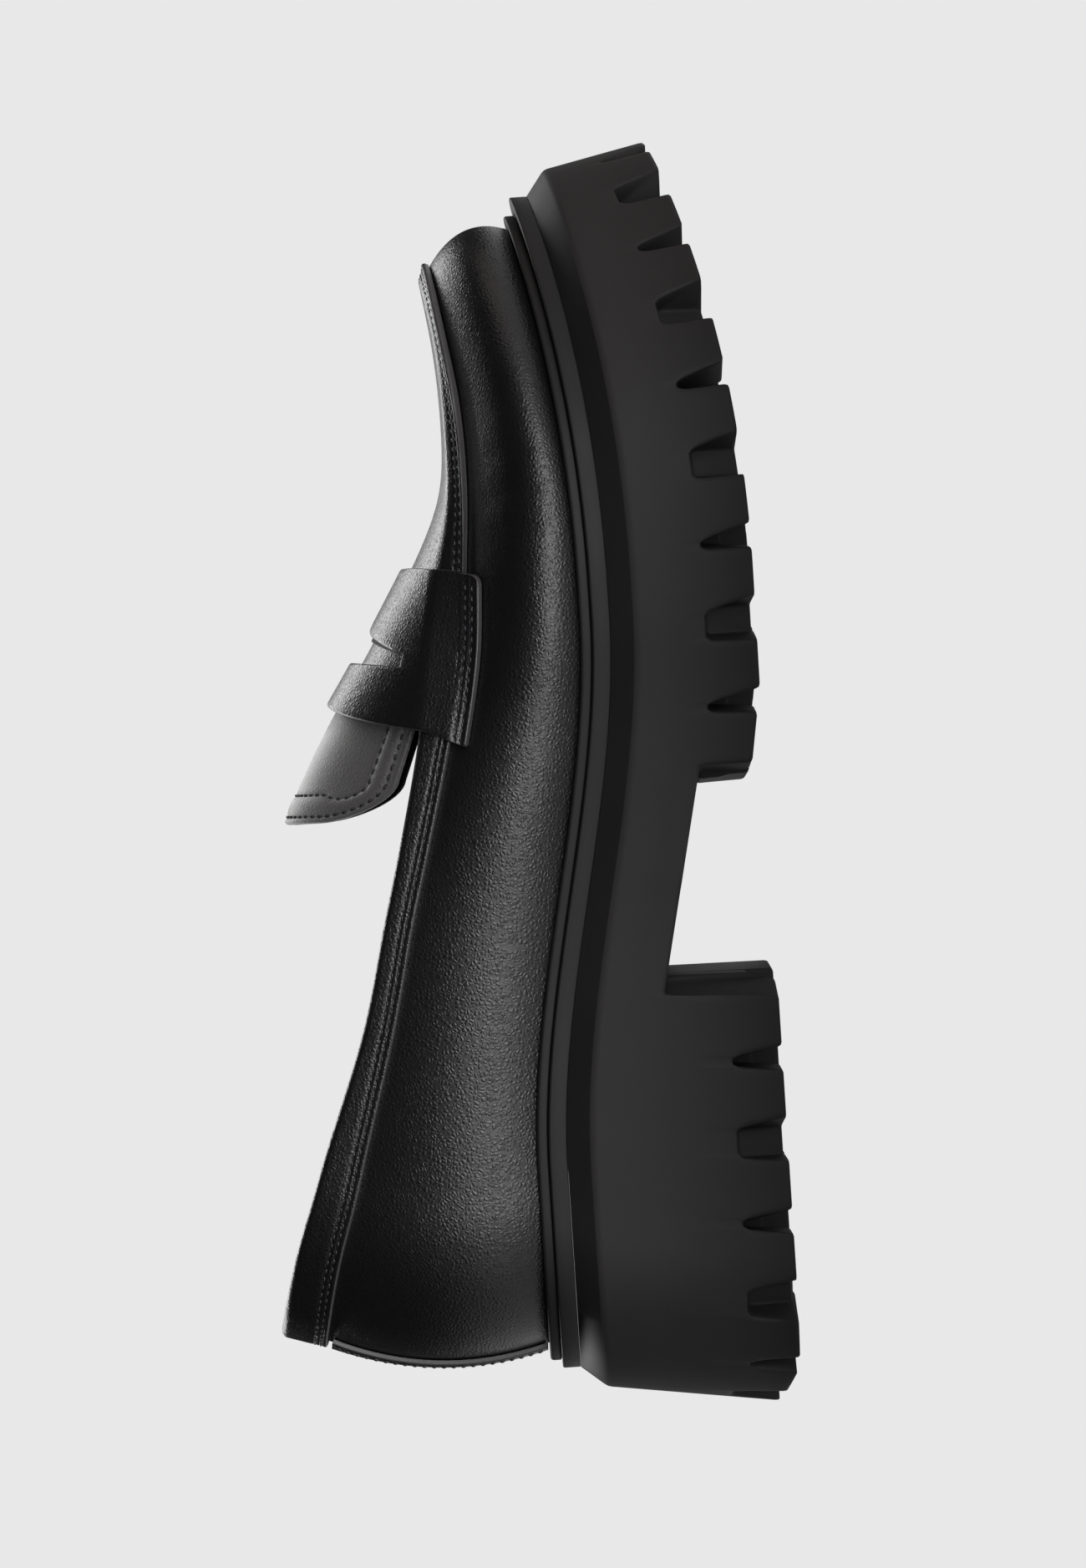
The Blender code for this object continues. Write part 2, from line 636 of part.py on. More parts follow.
def notch_columns(middle, wide):
    """Four columns of one notch by arc length: lug edge, notch edge, notch edge, lug edge. Its
    mouth flares towards the toe, and only a narrow notch has the middle block beside it."""
    half = (WIDE_NOTCH if wide else NARROW_NOTCH) / 2
    flare = WIDE_MOUTH_FLARE if wide else NARROW_MOUTH_FLARE
    rear, fore = middle - half - NOTCH_DRAFT, middle + half + NOTCH_DRAFT
    return [
        Column(rear, rear - NOTCH_DRAFT, LUG, True),
        Column(middle - half, middle - half, NOTCH, not wide),
        Column(middle + half, middle + half, NOTCH, not wide),
        Column(fore, fore + flare, LUG, True),
    ]


def tread_columns():
    """All columns from heel tip to toe tip, as arc lengths along the outer tread outline."""
    turns = np.linspace(0.0, 1.0, OUTLINE_POINTS)
    x, y = rim(turns, -1.0, TREAD)
    arc = np.concatenate([[0.0], np.cumsum(np.hypot(np.diff(x), np.diff(y)))])
    breast = np.interp(HEEL_BREAST, x, arc)
    back = np.interp(FOREFOOT_BACK, x, arc)
    columns = [Column(0.0, 0.0, LUG, True)]
    heel_middles = np.arange(breast - FIRST_HEEL_NOTCH, NOTCH_PITCH / 3, -NOTCH_PITCH)
    for number, middle in reversed(list(enumerate(heel_middles))):
        columns += notch_columns(middle, number % 2 == 1)
    columns.append(Column(breast, breast, LUG, True))
    columns.append(Column(breast + NOTCH_DRAFT, breast + NOTCH_DRAFT, ARCH, False))
    for share in (0.25, 0.5, 0.75):
        place = breast + share * (back - breast)
        columns.append(Column(place, place, ARCH, False))
    columns.append(Column(back - NOTCH_DRAFT, back - NOTCH_DRAFT, ARCH, False))
    columns.append(Column(back, back, LUG, True))
    fore_middles = np.arange(back + FIRST_FORE_NOTCH, arc[-1] - NOTCH_PITCH / 3, NOTCH_PITCH)
    for number, middle in enumerate(fore_middles):
        columns += notch_columns(middle, number % 2 == 1)
    columns.append(Column(arc[-1], arc[-1], LUG, True))

    def turn_of(length):
        return float(np.interp(length, arc, turns))

    return [c._replace(top=turn_of(c.top), low=turn_of(c.low)) for c in columns]


def breast_shift(columns, number):
    """How far the middle of the tread bulges into the waist at a column, in x."""
    here = columns[number].kind
    for other, direction in ((number - 1, -1.0), (number + 1, 1.0)):
        if 0 <= other < len(columns) and {here, columns[other].kind} == {LUG, ARCH}:
            return BREAST_BULGE * (direction if here == LUG else -direction)
    return 0.0


def lug_side(spot, side, shift):
    """One side of a sole section, from the chamfer's top down and in to the middle block."""
    x_tread, _ = rim(spot.low, side, TREAD)
    seat = seat_point(spot.top, side, BAND, 0.0, -BEAD_HEIGHT - BAND_HEIGHT - GAP)
    shoulder_down = BEAD_HEIGHT + BAND_HEIGHT + GAP + CHAMFER_HEIGHT
    shoulder = seat_point(spot.top, side, SHOULDER, 0.0, -shoulder_down)
    ground = ground_height(x_tread)
    waist = arch_height(x_tread)
    beside_arch = spot.kind == ARCH or shift != 0.0
    ceiling = waist if beside_arch else ground + NOTCH_DEPTH
    low = {LUG: ground, NOTCH: ceiling, ARCH: waist}[spot.kind]
    channel = waist if spot.kind == ARCH else ground + CHANNEL_DEPTH
    block = ground if spot.block else channel
    share = (shoulder[2] - ceiling) / (shoulder[2] - ground)
    wall = shoulder * (1.0 - share) + outline_point(spot.top, side, TREAD, 0.0, ground) * share
    outer_inset = 0.0 if spot.kind == LUG else LUG_WIDTH / 2
    middle = LUG_WIDTH + LUG_DRAFT + CHANNEL_WIDTH
    points = [
        seat,
        shoulder,
        wall,
        outline_point(spot.low, side, TREAD, outer_inset, low),
        outline_point(spot.low, side, TREAD, LUG_WIDTH, low),
        outline_point(spot.top, side, TREAD, LUG_WIDTH + LUG_DRAFT, channel),
        outline_point(spot.top, side, TREAD, middle, channel),
        outline_point(spot.top, side, TREAD, middle + LUG_DRAFT, block),
    ]
    section = np.stack(points)
    section[5:, 0] += shift * BLOCK_BULGE_SHARE
    section[4, 0] += shift * LUG_BULGE_SHARE
    return section


def add_lug_sole(finish):
    """The lug sole: chamfer, wall, waist, and the notched tread, from toe spring to heel."""
    columns = tread_columns()
    sections = []
    for number, spot in enumerate(columns):
        shift = breast_shift(columns, number)
        outside = lug_side(spot, -1.0, shift)
        inside = lug_side(spot, 1.0, shift)
        middle = (outside[-1:] + inside[-1:]) / 2
        middle[:, 0] += shift * MIDDLE_BULGE_SHARE
        sections.append(np.concatenate([outside, middle, inside[::-1]]))
    return add_loft("lug_sole", np.stack(sections), finish)


def main():
    """Clears the scene and builds every piece."""
    for old in list(bpy.data.objects):
        bpy.data.objects.remove(old, do_unlink=True)
    leather = material("black_leather", (0.012, 0.012, 0.013), 0.38)
    edge = material("black_edge_leather", (0.010, 0.010, 0.010), 0.45)
    rubber = material("black_rubber", (0.030, 0.028, 0.028), 0.62)
    lining = material("black_lining", (0.020, 0.020, 0.021), 0.80)
    add_lug_sole(rubber)
    add_welt(rubber)
    add_insole(lining)
    add_upper(leather)
    add_apron(leather)
    add_topline_band(edge)
    add_heel_strip(edge)
    add_saddle_strap(leather)
    add_tongue(leather)


main()
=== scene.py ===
"""A black slip-on loafer on a chunky notched sole, one right shoe, standing in a plain studio.

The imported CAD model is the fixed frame. Every sub-assembly works its surfaces out with numpy from
the formula of the last, in metres: +X to the toe, +Y to the inner side, +Z up, ground at Z = 0.
"""

from __future__ import annotations

import sys

import logging
from collections.abc import Callable
from dataclasses import dataclass, field
from enum import Enum
from typing import NamedTuple

import bmesh
import bpy
import numpy as np
from mathutils import Matrix, Vector

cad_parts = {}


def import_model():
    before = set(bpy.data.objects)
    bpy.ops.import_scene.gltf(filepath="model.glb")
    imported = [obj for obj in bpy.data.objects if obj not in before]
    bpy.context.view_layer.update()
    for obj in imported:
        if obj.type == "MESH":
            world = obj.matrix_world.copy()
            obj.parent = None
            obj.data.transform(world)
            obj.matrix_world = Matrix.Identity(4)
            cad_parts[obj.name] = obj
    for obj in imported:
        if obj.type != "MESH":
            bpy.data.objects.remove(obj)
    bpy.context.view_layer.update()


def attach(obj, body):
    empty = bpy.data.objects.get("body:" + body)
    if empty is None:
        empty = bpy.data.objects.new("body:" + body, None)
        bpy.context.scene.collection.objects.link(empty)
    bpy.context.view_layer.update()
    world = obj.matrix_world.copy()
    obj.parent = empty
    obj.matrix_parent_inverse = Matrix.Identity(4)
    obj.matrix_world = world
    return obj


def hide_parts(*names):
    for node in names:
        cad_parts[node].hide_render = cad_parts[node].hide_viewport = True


log = logging.getLogger("loafer")
Pair = tuple[np.ndarray, np.ndarray]
MM = 0.001
TINY = 1e-9

# Sizes that several pieces go by
GAP = 0.0003  # between pieces that are sewn or cemented together
WALL = 0.0018  # the upper's leather with its lining
PLY = 0.0013  # the leather of the apron and of the collar's strip
WELT_WIDTH = 0.0090
WELT_HEIGHT = 0.0066
SEAM_GROOVE = 0.38 * MM  # half the width that a stitch row presses in
DYE_AND_HIGHLIGHT_BAND = 0.34 * MM  # how far in from a cut edge the edge finish is painted onto the face: its dye, and a painted highlight along the edge


class Slot(Enum):
    """The record's material slots."""

    SOLE = "sole_rubber"
    WELT = "welt_rubber"
    LINING = "lining"
    LEATHER = "upper_leather"


class Ground(Enum):
    """What a column of the sole's side stands over."""

    LUG = 0
    NOTCH = 1
    WAIST = 2


def smooth_step(value: np.ndarray) -> np.ndarray:
    """0 below 0, 1 above 1, and the S curve 3v2 - 2v3 between."""
    value = np.clip(value, 0.0, 1.0)
    return value * value * (3.0 - 2.0 * value)


def hump(value: np.ndarray, middle: float, width: float) -> np.ndarray:
    """A bell curve, 1 at the middle and e to the minus 1 at the width from it."""
    return np.exp(-(((value - middle) / width) ** 2))


def rounded(depth: np.ndarray, radius: float) -> np.ndarray:
    """How far a cut edge falls below the face: a quarter circle over the edge's last radius."""
    short = np.clip(radius - depth, 0.0, radius)
    return radius - np.sqrt(radius**2 - short**2)


def pressed(depth: np.ndarray, rows: tuple[float, ...], groove: float) -> np.ndarray:
    """How far the stitch rows press the leather in, a bell-shaped groove under each."""
    return sum(groove * hump(depth, row, SEAM_GROOVE) for row in rows)


def both_sides(half: np.ndarray, sign: float = -1.0) -> np.ndarray:
    """A run from the edge to the middle, with its mirror image after it. The sign is what the
    first side is multiplied by."""
    return np.concatenate([sign * half, half[..., -2::-1]], axis=-1)


@dataclass(frozen=True)
class Row:
    """One section of the last. at is a share of the length from the heel, axis and the half
    widths are shares of the ball width, and the two heights of the back or toe box height."""

    at: float
    axis: float
    foot: float
    belly: float
    seam: float
    edge: float
    seam_up: float
    edge_up: float


QUARTER = (
    Row(0.00, 0.010, 0.370, 0.385, 0.310, 0.290, 0.856, 1.008),
    Row(0.08, 0.010, 0.372, 0.390, 0.325, 0.305, 0.768, 0.912),
    Row(0.15, 0.010, 0.370, 0.390, 0.335, 0.320, 0.673, 0.808),
    Row(0.28, -0.005, 0.365, 0.388, 0.350, 0.338, 0.558, 0.657),
    Row(0.40, -0.020, 0.372, 0.398, 0.362, 0.350, 0.528, 0.620),
    Row(0.50, -0.024, 0.402, 0.428, 0.372, 0.356, 0.495, 0.594),
    Row(0.55, -0.019, 0.426, 0.448, 0.374, 0.355, 0.474, 0.580),
)
VAMP = (
    Row(0.63, -0.008, 0.475, 0.492, 0.370, 0.345, 1.375, 1.780),
    Row(0.71, -0.001, 0.498, 0.508, 0.360, 0.333, 1.285, 1.585),
    Row(0.78, 0.010, 0.488, 0.496, 0.344, 0.314, 1.180, 1.375),
    Row(0.85, 0.030, 0.462, 0.466, 0.324, 0.292, 1.112, 1.275),
    Row(0.93, 0.058, 0.425, 0.426, 0.302, 0.268, 1.100, 1.200),
    Row(1.00, 0.082, 0.395, 0.394, 0.285, 0.250, 1.075, 1.185),
)


@dataclass(frozen=True)
class Level:
    """How far one level of the sole stands out past the foot of the upper."""

    side: float
    toe: float
    heel: float


FOOT = Level(0.0, 0.0, 0.0)
BEAD = Level(0.0016, 0.0029, 0.0040)
BAND = Level(0.0036, 0.0070, 0.0058)
SHOULDER = Level(0.0066, 0.0127, 0.0105)
TREAD = Level(0.0084, 0.0174, 0.0160)


@dataclass(frozen=True)
class Crease:
    """A soft trough that walking leaves across the side of the vamp."""

    x: float
    slant: float
    width: float
    depth: float


@dataclass
class Last:
    """The last: the surface that all leather lies over, and the seat line of the sole."""

    sole_length: float = 0.283
    ball_width: float = 0.0882
    back_height: float = 0.0575
    toe_box_height: float = 0.0180
    heel_seat: float = 0.0543
    ball_seat: float = 0.0377
    toe_seat: float = 0.0478
    spring_from: float = 0.040
    rise_from: float = 0.034
    rise_to: float = -0.085
    throat_x: float = 0.0220
    instep_rise: float = 0.0494
    instep_slope: float = 0.640
    instep_blend: float = 0.0035
    fore_crown: float = 0.0009
    crown_power: float = 2.3
    heel_round: float = 0.036
    toe_round: float = 0.064
    seam_toe_round: float = 0.042
    heel_power: float = 2.15
    toe_power: float = 2.20
    belly_share: float = 0.38
    heel_belly_out: float = 0.0027
    heel_seam_in: float = 0.0035
    heel_edge_in: float = 0.0063
    toe_belly_out: float = 0.0008
    toe_seam_in: float = 0.0070
    toe_edge_in: float = 0.0104
    seam: float = 0.50
    edge: float = 0.40
    soft: float = 0.005
    step: float = 1e-4
    creased_from: float = 0.54
    creased_to: float = 0.97
    creases: tuple[Crease, ...] = (
        Crease(0.0545, 0.10, 0.0026, 0.00030),
        Crease(0.0625, 0.16, 0.0032, 0.00034),
        Crease(0.0715, 0.22, 0.0036, 0.00024),
    )
    places: np.ndarray = field(init=False)
    widths: dict[str, np.ndarray] = field(init=False)
    rises: dict[str, np.ndarray] = field(init=False)

    def __post_init__(self) -> None:
        """Turns the sections' shares into metres."""
        rows = QUARTER + VAMP
        self.places = np.array([row.at for row in rows])
        self.widths = {
            name: self.ball_width * np.array([getattr(row, name) for row in rows])
            for name in ("axis", "foot", "belly", "seam", "edge")
        }
        scale = [self.back_height] * len(QUARTER) + [self.toe_box_height] * len(VAMP)
        self.rises = {
            name: np.array(scale) * np.array([getattr(row, name) for row in rows])
            for name in ("seam_up", "edge_up")
        }
        self.toe = self.sole_length / 2 - TREAD.toe
        self.heel = -self.sole_length / 2 + TREAD.heel
        self.vamp_edge = self.widths["edge"][len(QUARTER)]

    def through(self, share: np.ndarray, values: np.ndarray) -> np.ndarray:
        """A smooth curve through one column of the sections: cubic pieces between the rows,
        with slopes taken from both neighbours."""
        places = self.places
        slopes = np.gradient(values, places)
        share = np.clip(share, places[0], places[-1])
        row = np.clip(np.searchsorted(places, share, side="right") - 1, 0, len(places) - 2)
        run = places[row + 1] - places[row]
        t = (share - places[row]) / run
        start, end = values[row], values[row + 1]
        bend = slopes[row] * run * t * (1 - t) ** 2 + slopes[row + 1] * run * t * t * (t - 1)
        return start * (1 + 2 * t) * (1 - t) ** 2 + end * t * t * (3 - 2 * t) + bend

    def share_at(self, turn: np.ndarray) -> np.ndarray:
        """The share of the length at a turn: half of 1 less the cosine of pi times the turn."""
        return (1.0 - np.cos(np.pi * turn)) / 2.0

    def roundness(self, turn: np.ndarray, length: np.ndarray, toe_round: np.ndarray) -> np.ndarray:
        """The share of its half width that a round-ended outline has at a turn: at each end a
        superellipse, 1 less the distance into the round to a power, to one over that power."""
        share = self.share_at(turn)
        heel = np.clip(1.0 - share * length / self.heel_round, 0.0, 1.0)
        toe = np.clip(1.0 - (1.0 - share) * length / toe_round, 0.0, 1.0)
        full = (1.0 - heel**self.heel_power) ** (1.0 / self.heel_power)
        full = full * (1.0 - toe**self.toe_power) ** (1.0 / self.toe_power)
        return full * np.where((turn < 0.0) | (turn > 1.0), -1.0, 1.0)

    def seat_height(self, x: np.ndarray) -> np.ndarray:
        """The top of the sole along its length: high heel seat, low ball, and toe spring."""
        rise = smooth_step((self.rise_from - x) / (self.rise_from - self.rise_to))
        spring = np.clip((x - self.spring_from) / (self.toe - self.spring_from), 0.0, None) ** 2
        up = rise * (self.heel_seat - self.ball_seat)
        return self.ball_seat + up + spring * (self.toe_seat - self.ball_seat)

    def rim(self, turn: np.ndarray, side: np.ndarray, level: Level) -> Pair:
        """Plan x and y of the sole's outline at a level. side is -1 outside and 1 inside."""
        share = self.share_at(turn)
        heel, toe = self.heel - level.heel, self.toe + level.toe
        half = self.through(share, self.widths["foot"]) + level.side
        axis = self.through(share, self.widths["axis"])
        full = self.roundness(turn, toe - heel, self.toe_round)
        return heel + share * (toe - heel), axis + side * half * full

    def rim_point(
        self, turn: np.ndarray, side: np.ndarray, level: Level, inset: np.ndarray, up: np.ndarray
    ) -> np.ndarray:
        """Points inset square to the outline at a level, a height over the seat there.

        Args:
            turn: places along the outline.
            side: -1 on the outer side, 1 on the inner.
            level: the level whose outline it is.
            inset: metres towards the middle.
            up: metres over the seat.

        Returns:
            The points, x y z last.
        """
        x, y = self.rim(turn, side, level)
        x0, y0 = self.rim(turn - self.step, side, level)
        x1, y1 = self.rim(turn + self.step, side, level)
        run = np.hypot(x1 - x0, y1 - y0)
        x = x + inset * side * (y1 - y0) / run
        y = y - inset * side * (x1 - x0) / run
        return np.stack(np.broadcast_arrays(x, y, self.seat_height(x) + up), axis=-1)

    def three_level(
        self,
        up: np.ndarray,
        foot: np.ndarray | float,
        belly: np.ndarray | float,
        seam: np.ndarray | float,
    ) -> np.ndarray:
        """The one parabola through a value at the foot, at the belly and at the seam."""
        b = self.belly_share
        low = foot * (up - b) * (up - 1.0) / b
        middle = belly * up * (up - 1.0) / (b * (b - 1.0))
        return low + middle + seam * up * (up - b) / (1.0 - b)

    def hard_form(self, turn: np.ndarray, across: np.ndarray) -> np.ndarray:
        """The last's surface: each side wall is a parabola from foot through belly to seam, then
        a straight band to the edge, then a crowned cap to the ridge.

        Args:
            turn: 0 at the heel's tip to 1 at the toe's.
            across: -1 at the outer featherline, 0 on the ridge, 1 at the inner featherline.

        Returns:
            The points, x y z last.
        """
        turn, across = np.broadcast_arrays(np.asarray(turn, float), np.asarray(across, float))
        share, place = self.share_at(turn), np.abs(across)
        side = np.where(across < 0.0, -1.0, 1.0)
        wall = np.clip((1.0 - place) / (1.0 - self.seam), 0.0, 1.0)
        band = np.clip((self.seam - place) / (self.seam - self.edge), 0.0, 1.0)
        cap = np.clip(place / self.edge, 0.0, 1.0)
        width = {name: self.through(share, column) for name, column in self.widths.items()}
        rise = {name: self.through(share, column) for name, column in self.rises.items()}

        heel = self.three_level(wall, 0.0, -self.heel_belly_out, self.heel_seam_in)
        heel = self.heel + heel + band * (self.heel_edge_in - self.heel_seam_in)
        toe = self.three_level(wall, 0.0, -self.toe_belly_out, self.toe_seam_in)
        toe = self.toe - toe - band * (self.toe_edge_in - self.toe_seam_in)
        x = heel + share * (toe - heel)

        half = self.three_level(wall, width["foot"], width["belly"], width["seam"])
        half = (half + band * (width["edge"] - width["seam"])) * cap
        toe_round = self.toe_round + wall * (self.seam_toe_round - self.toe_round)
        full = self.roundness(turn, toe - heel, toe_round)

        seat = self.seat_height(x)
        throat = self.seat_height(np.asarray(self.throat_x)) + self.instep_rise
        above = throat + self.instep_slope * (self.throat_x - x) - seat - rise["edge_up"]
        crown = self.instep_blend * np.logaddexp(0.0, above / self.instep_blend)
        crown = (self.fore_crown + crown) * full**2 * (1.0 - cap**self.crown_power)
        up = rise["seam_up"] * wall + band * (rise["edge_up"] - rise["seam_up"])
        return np.stack([x, width["axis"] + side * half * full, seat + up + crown], axis=-1)

    def form(self, turn: np.ndarray, across: np.ndarray) -> np.ndarray:
        """The surface with its two corner lines eased: near seam, edge and ridge it is the
        average of itself and of its neighbours a soft step to each side."""
        turn, across = np.broadcast_arrays(np.asarray(turn, float), np.asarray(across, float))
        here = self.hard_form(turn, across)
        beside = sum(self.hard_form(turn, across + step) for step in (-self.soft, self.soft))
        near = (np.abs(across) < self.seam + 2 * self.soft)[..., None]
        return np.where(near, here / 2 + beside / 4, here)

    def normals(
        self,
        surface: Callable[[np.ndarray, np.ndarray], np.ndarray],
        along: np.ndarray,
        over: np.ndarray,
    ) -> np.ndarray:
        """Unit normals, pointing out, of a surface that runs along the shoe and over it: the
        cross product of its two central differences."""
        forward = surface(along + self.step, over) - surface(along - self.step, over)
        sideways = surface(along, over + self.step) - surface(along, over - self.step)
        normal = np.cross(forward, sideways)
        return normal / np.linalg.norm(normal, axis=-1, keepdims=True)

    def facing(self, turn: np.ndarray, across: np.ndarray) -> np.ndarray:
        """The surface's unit normals. At both tips the cap is one point, which takes the normal
        of the cap's edge."""
        at_tip = ((turn <= 0.0) | (turn >= 1.0)) & (np.abs(across) < self.edge)
        place = np.where(at_tip, np.where(across < 0.0, -self.edge, self.edge), across)
        return self.normals(self.form, turn, place)

    def off(self, turn: np.ndarray, across: np.ndarray, distance: np.ndarray) -> np.ndarray:
        """Points at a distance outside the surface, inside it where negative."""
        turn, across = np.broadcast_arrays(np.asarray(turn, float), np.asarray(across, float))
        distance = np.broadcast_to(distance, turn.shape)[..., None]
        return self.form(turn, across) + self.facing(turn, across) * distance

    def turn_where(
        self,
        reached: Callable[[np.ndarray], np.ndarray],
        across: np.ndarray,
        high: float = 1.0,
    ) -> np.ndarray:
        """The turn at which a test of the surface's points comes true, found by halving."""
        low, high = np.zeros_like(across), np.full_like(across, high)
        for _ in range(32):
            middle = (low + high) / 2
            before = ~reached(self.form(middle, across))
            low, high = np.where(before, middle, low), np.where(before, high, middle)
        return (low + high) / 2

    def turn_of_x(self, x: np.ndarray, across: np.ndarray) -> np.ndarray:
        """The turn at which the surface reaches x."""
        x, across = np.broadcast_arrays(np.asarray(x, float), np.asarray(across, float))
        return self.turn_where(lambda point: point[..., 0] >= x, across)

    def ridge_turn(self, x: float) -> float:
        """The turn at which the ridge reaches x."""
        return self.turn_of_x(x, np.zeros(1))[0]

    def band_width(self, turn: np.ndarray) -> np.ndarray:
        """Metres from the seam to the edge at each turn."""
        return np.linalg.norm(
            self.hard_form(turn, self.seam) - self.hard_form(turn, self.edge), axis=-1
        )

    def creased(self, turn: np.ndarray, across: np.ndarray) -> np.ndarray:
        """Depth of the walking creases: bell-shaped troughs, slanting back as they rise, that
        fade out towards the featherline and the seam."""
        x = self.form(turn, across)[..., 0]
        place = np.abs(across)
        low, high = self.creased_from, self.creased_to
        fade = smooth_step((place - low) / 0.12) * smooth_step((high - place) / 0.16)
        depth = np.zeros_like(x)
        for crease in self.creases:
            middle = crease.x + crease.slant * (place - 0.75) * 0.02
            depth += crease.depth * hump(x, middle, crease.width)
        return depth * fade


# Shapes and meshes


def grid_cells(rows: int, columns: int, wrap: tuple[bool, bool] = (False, False)) -> np.ndarray:
    """The quads of a grid of points that are counted row by row.

    Args:
        rows: how many rows of points there are.
        columns: how many points a row has.
        wrap: whether the last row, and the last column, join the first.

    Returns:
        Four point numbers for each cell, as rows x columns x 4.
    """
    i = np.arange(rows if wrap[0] else rows - 1)[:, None]
    k = np.arange(columns if wrap[1] else columns - 1)[None, :]
    after_i, after_k = (i + 1) % rows, (k + 1) % columns
    corners = (
        i * columns + k,
        after_i * columns + k,
        after_i * columns + after_k,
        i * columns + after_k,
    )
    return np.stack(np.broadcast_arrays(*corners), axis=-1)


@dataclass
class Body:
    """Points, quads, and the number of the finish that each quad takes."""

    points: np.ndarray
    faces: np.ndarray
    finishes: np.ndarray

    @staticmethod
    def tube(grid: np.ndarray, wrap: tuple[bool, bool], finishes: np.ndarray | int = 0) -> Body:
        """A body from one grid of points.

        Args:
            grid: rows x columns x 3.
            wrap: whether rows and columns close on themselves.
            finishes: one finish, or one for each row of cells.

        Returns:
            The body.
        """
        cells = grid_cells(grid.shape[0], grid.shape[1], wrap)
        finishes = np.broadcast_to(np.asarray(finishes).reshape(-1, 1), cells.shape[:2])
        return Body(grid.reshape(-1, 3), cells.reshape(-1, 4), finishes.reshape(-1))

    @staticmethod
    def shell(
        outside: np.ndarray,
        inside: np.ndarray,
        keep: np.ndarray | None = None,
        depth: np.ndarray | None = None,
    ) -> Body:
        """A leather piece: an outer and an inner grid, with a wall round every free edge.

        Args:
            outside: rows x columns x 3, the side that shows.
            inside: the same, for the flesh side.
            keep: which cells are leather, or None for all.
            depth: metres in from the nearest cut edge; faces this near it take the edge finish, its
                dye and a painted highlight along the edge.

        Returns:
            The body, with finish 0 outside, 1 inside and 2 on the cut edges.
        """
        count = outside.shape[0] * outside.shape[1]
        cells = grid_cells(*outside.shape[:2])
        cells = cells.reshape(-1, 4) if keep is None else cells[keep]
        spots = np.round(outside.reshape(-1, 3), 7)
        weld = np.unique(spots, axis=0, return_inverse=True)[1].reshape(-1)
        pairs = np.stack([cells, np.roll(cells, -1, axis=1)], axis=-1).reshape(-1, 2)
        ends = np.sort(weld[pairs], axis=1)
        pairs, ends = pairs[ends[:, 0] != ends[:, 1]], ends[ends[:, 0] != ends[:, 1]]
        _, first, uses = np.unique(ends, axis=0, return_index=True, return_counts=True)
        rim = pairs[first[uses == 1]]
        wall = np.stack([rim[:, 1], rim[:, 0], rim[:, 0] + count, rim[:, 1] + count], axis=-1)
        points = np.concatenate([outside.reshape(-1, 3), inside.reshape(-1, 3)])
        faces = np.concatenate([cells, cells[:, ::-1] + count, wall])
        finishes = np.repeat([0, 1, 2], [len(cells), len(cells), len(wall)])
        if depth is not None:
            finishes[: len(cells)][depth.reshape(-1)[cells].max(axis=1) < DYE_AND_HIGHLIGHT_BAND] = 2
        return Body(points, faces, finishes)

    @staticmethod
    def joined(bodies: list[Body]) -> Body:
        """Several bodies as one."""
        starts = np.cumsum([0] + [len(body.points) for body in bodies[:-1]])
        return Body(
            np.concatenate([body.points for body in bodies]),
            np.concatenate([body.faces + start for body, start in zip(bodies, starts)]),
            np.concatenate([body.finishes for body in bodies]),
        )

    def piece(
        self,
        name: str,
        materials: list[bpy.types.Material],
        slot: Slot,
        stands_for: tuple[str, ...] = (),
        sharp: float = 45.0,
    ) -> bpy.types.Object:
        """Puts the body into the scene as one piece on the shoe's only body.

        Args:
            name: the piece's name.
            materials: the finishes by number.
            slot: the record's slot for the piece; not used.
            stands_for: the CAD nodes that it replaces.
            sharp: degrees between faces past which an edge stays sharp.

        Returns:
            The object, at the origin.
        """
        used = np.unique(self.faces)
        number = np.zeros(len(self.points), int)
        number[used] = np.arange(len(used))
        mesh = bpy.data.meshes.new(name)
        mesh.from_pydata(self.points[used].tolist(), [], number[self.faces].tolist())
        for material in materials:
            mesh.materials.append(material)
        mesh.polygons.foreach_set("material_index", self.finishes.astype(np.int32))
        shape = bmesh.new()
        shape.from_mesh(mesh)
        bmesh.ops.remove_doubles(shape, verts=shape.verts, dist=2e-6)
        gaps = [edge for edge in shape.edges if edge.is_boundary]
        if gaps:
            bmesh.ops.holes_fill(shape, edges=gaps, sides=0)
        bmesh.ops.recalc_face_normals(shape, faces=shape.faces)
        shape.to_mesh(mesh)
        shape.free()
        mesh.shade_smooth()
        mesh.set_sharp_from_angle(angle=np.radians(sharp))
        piece = bpy.data.objects.new(name, mesh)
        bpy.context.scene.collection.objects.link(piece)
        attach(piece, "root")
        if stands_for:
            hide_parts(*stands_for)
        log.info("%s: %d points, %d faces", name, len(mesh.vertices), len(mesh.polygons))
        return piece


def round_corners(grid: np.ndarray, radius: float, chosen: np.ndarray) -> np.ndarray:
    """Rounds the corners that a grid makes from row to row: each chosen point gives way to a
    point a radius before it, one a quarter in from both, and one a radius after it.

    Args:
        grid: rows x columns x 3.
        radius: how far from the corner the round starts, or less on a short side.
        chosen: true for each row whose corner is rounded.

    Returns:
        The grid with two more rows for each chosen one.
    """
    chosen = chosen.copy()
    chosen[[0, -1]] = False
    before, after = np.roll(grid, 1, axis=0) - grid, np.roll(grid, -1, axis=0) - grid

    def toward(step: np.ndarray) -> np.ndarray:
        """The step shortened to the radius."""
        length = np.maximum(np.linalg.norm(step, axis=-1, keepdims=True), 1e-9)
        return grid + step * np.minimum(radius / length, 0.45)

    first, last = toward(before), toward(after)
    middle = np.where(chosen[:, None, None], (first + 2 * grid + last) / 4, grid)
    kept = np.repeat(chosen, 3)
    kept[1::3] = True
    return np.stack([first, middle, last], axis=1).reshape(-1, *grid.shape[1:])[kept]


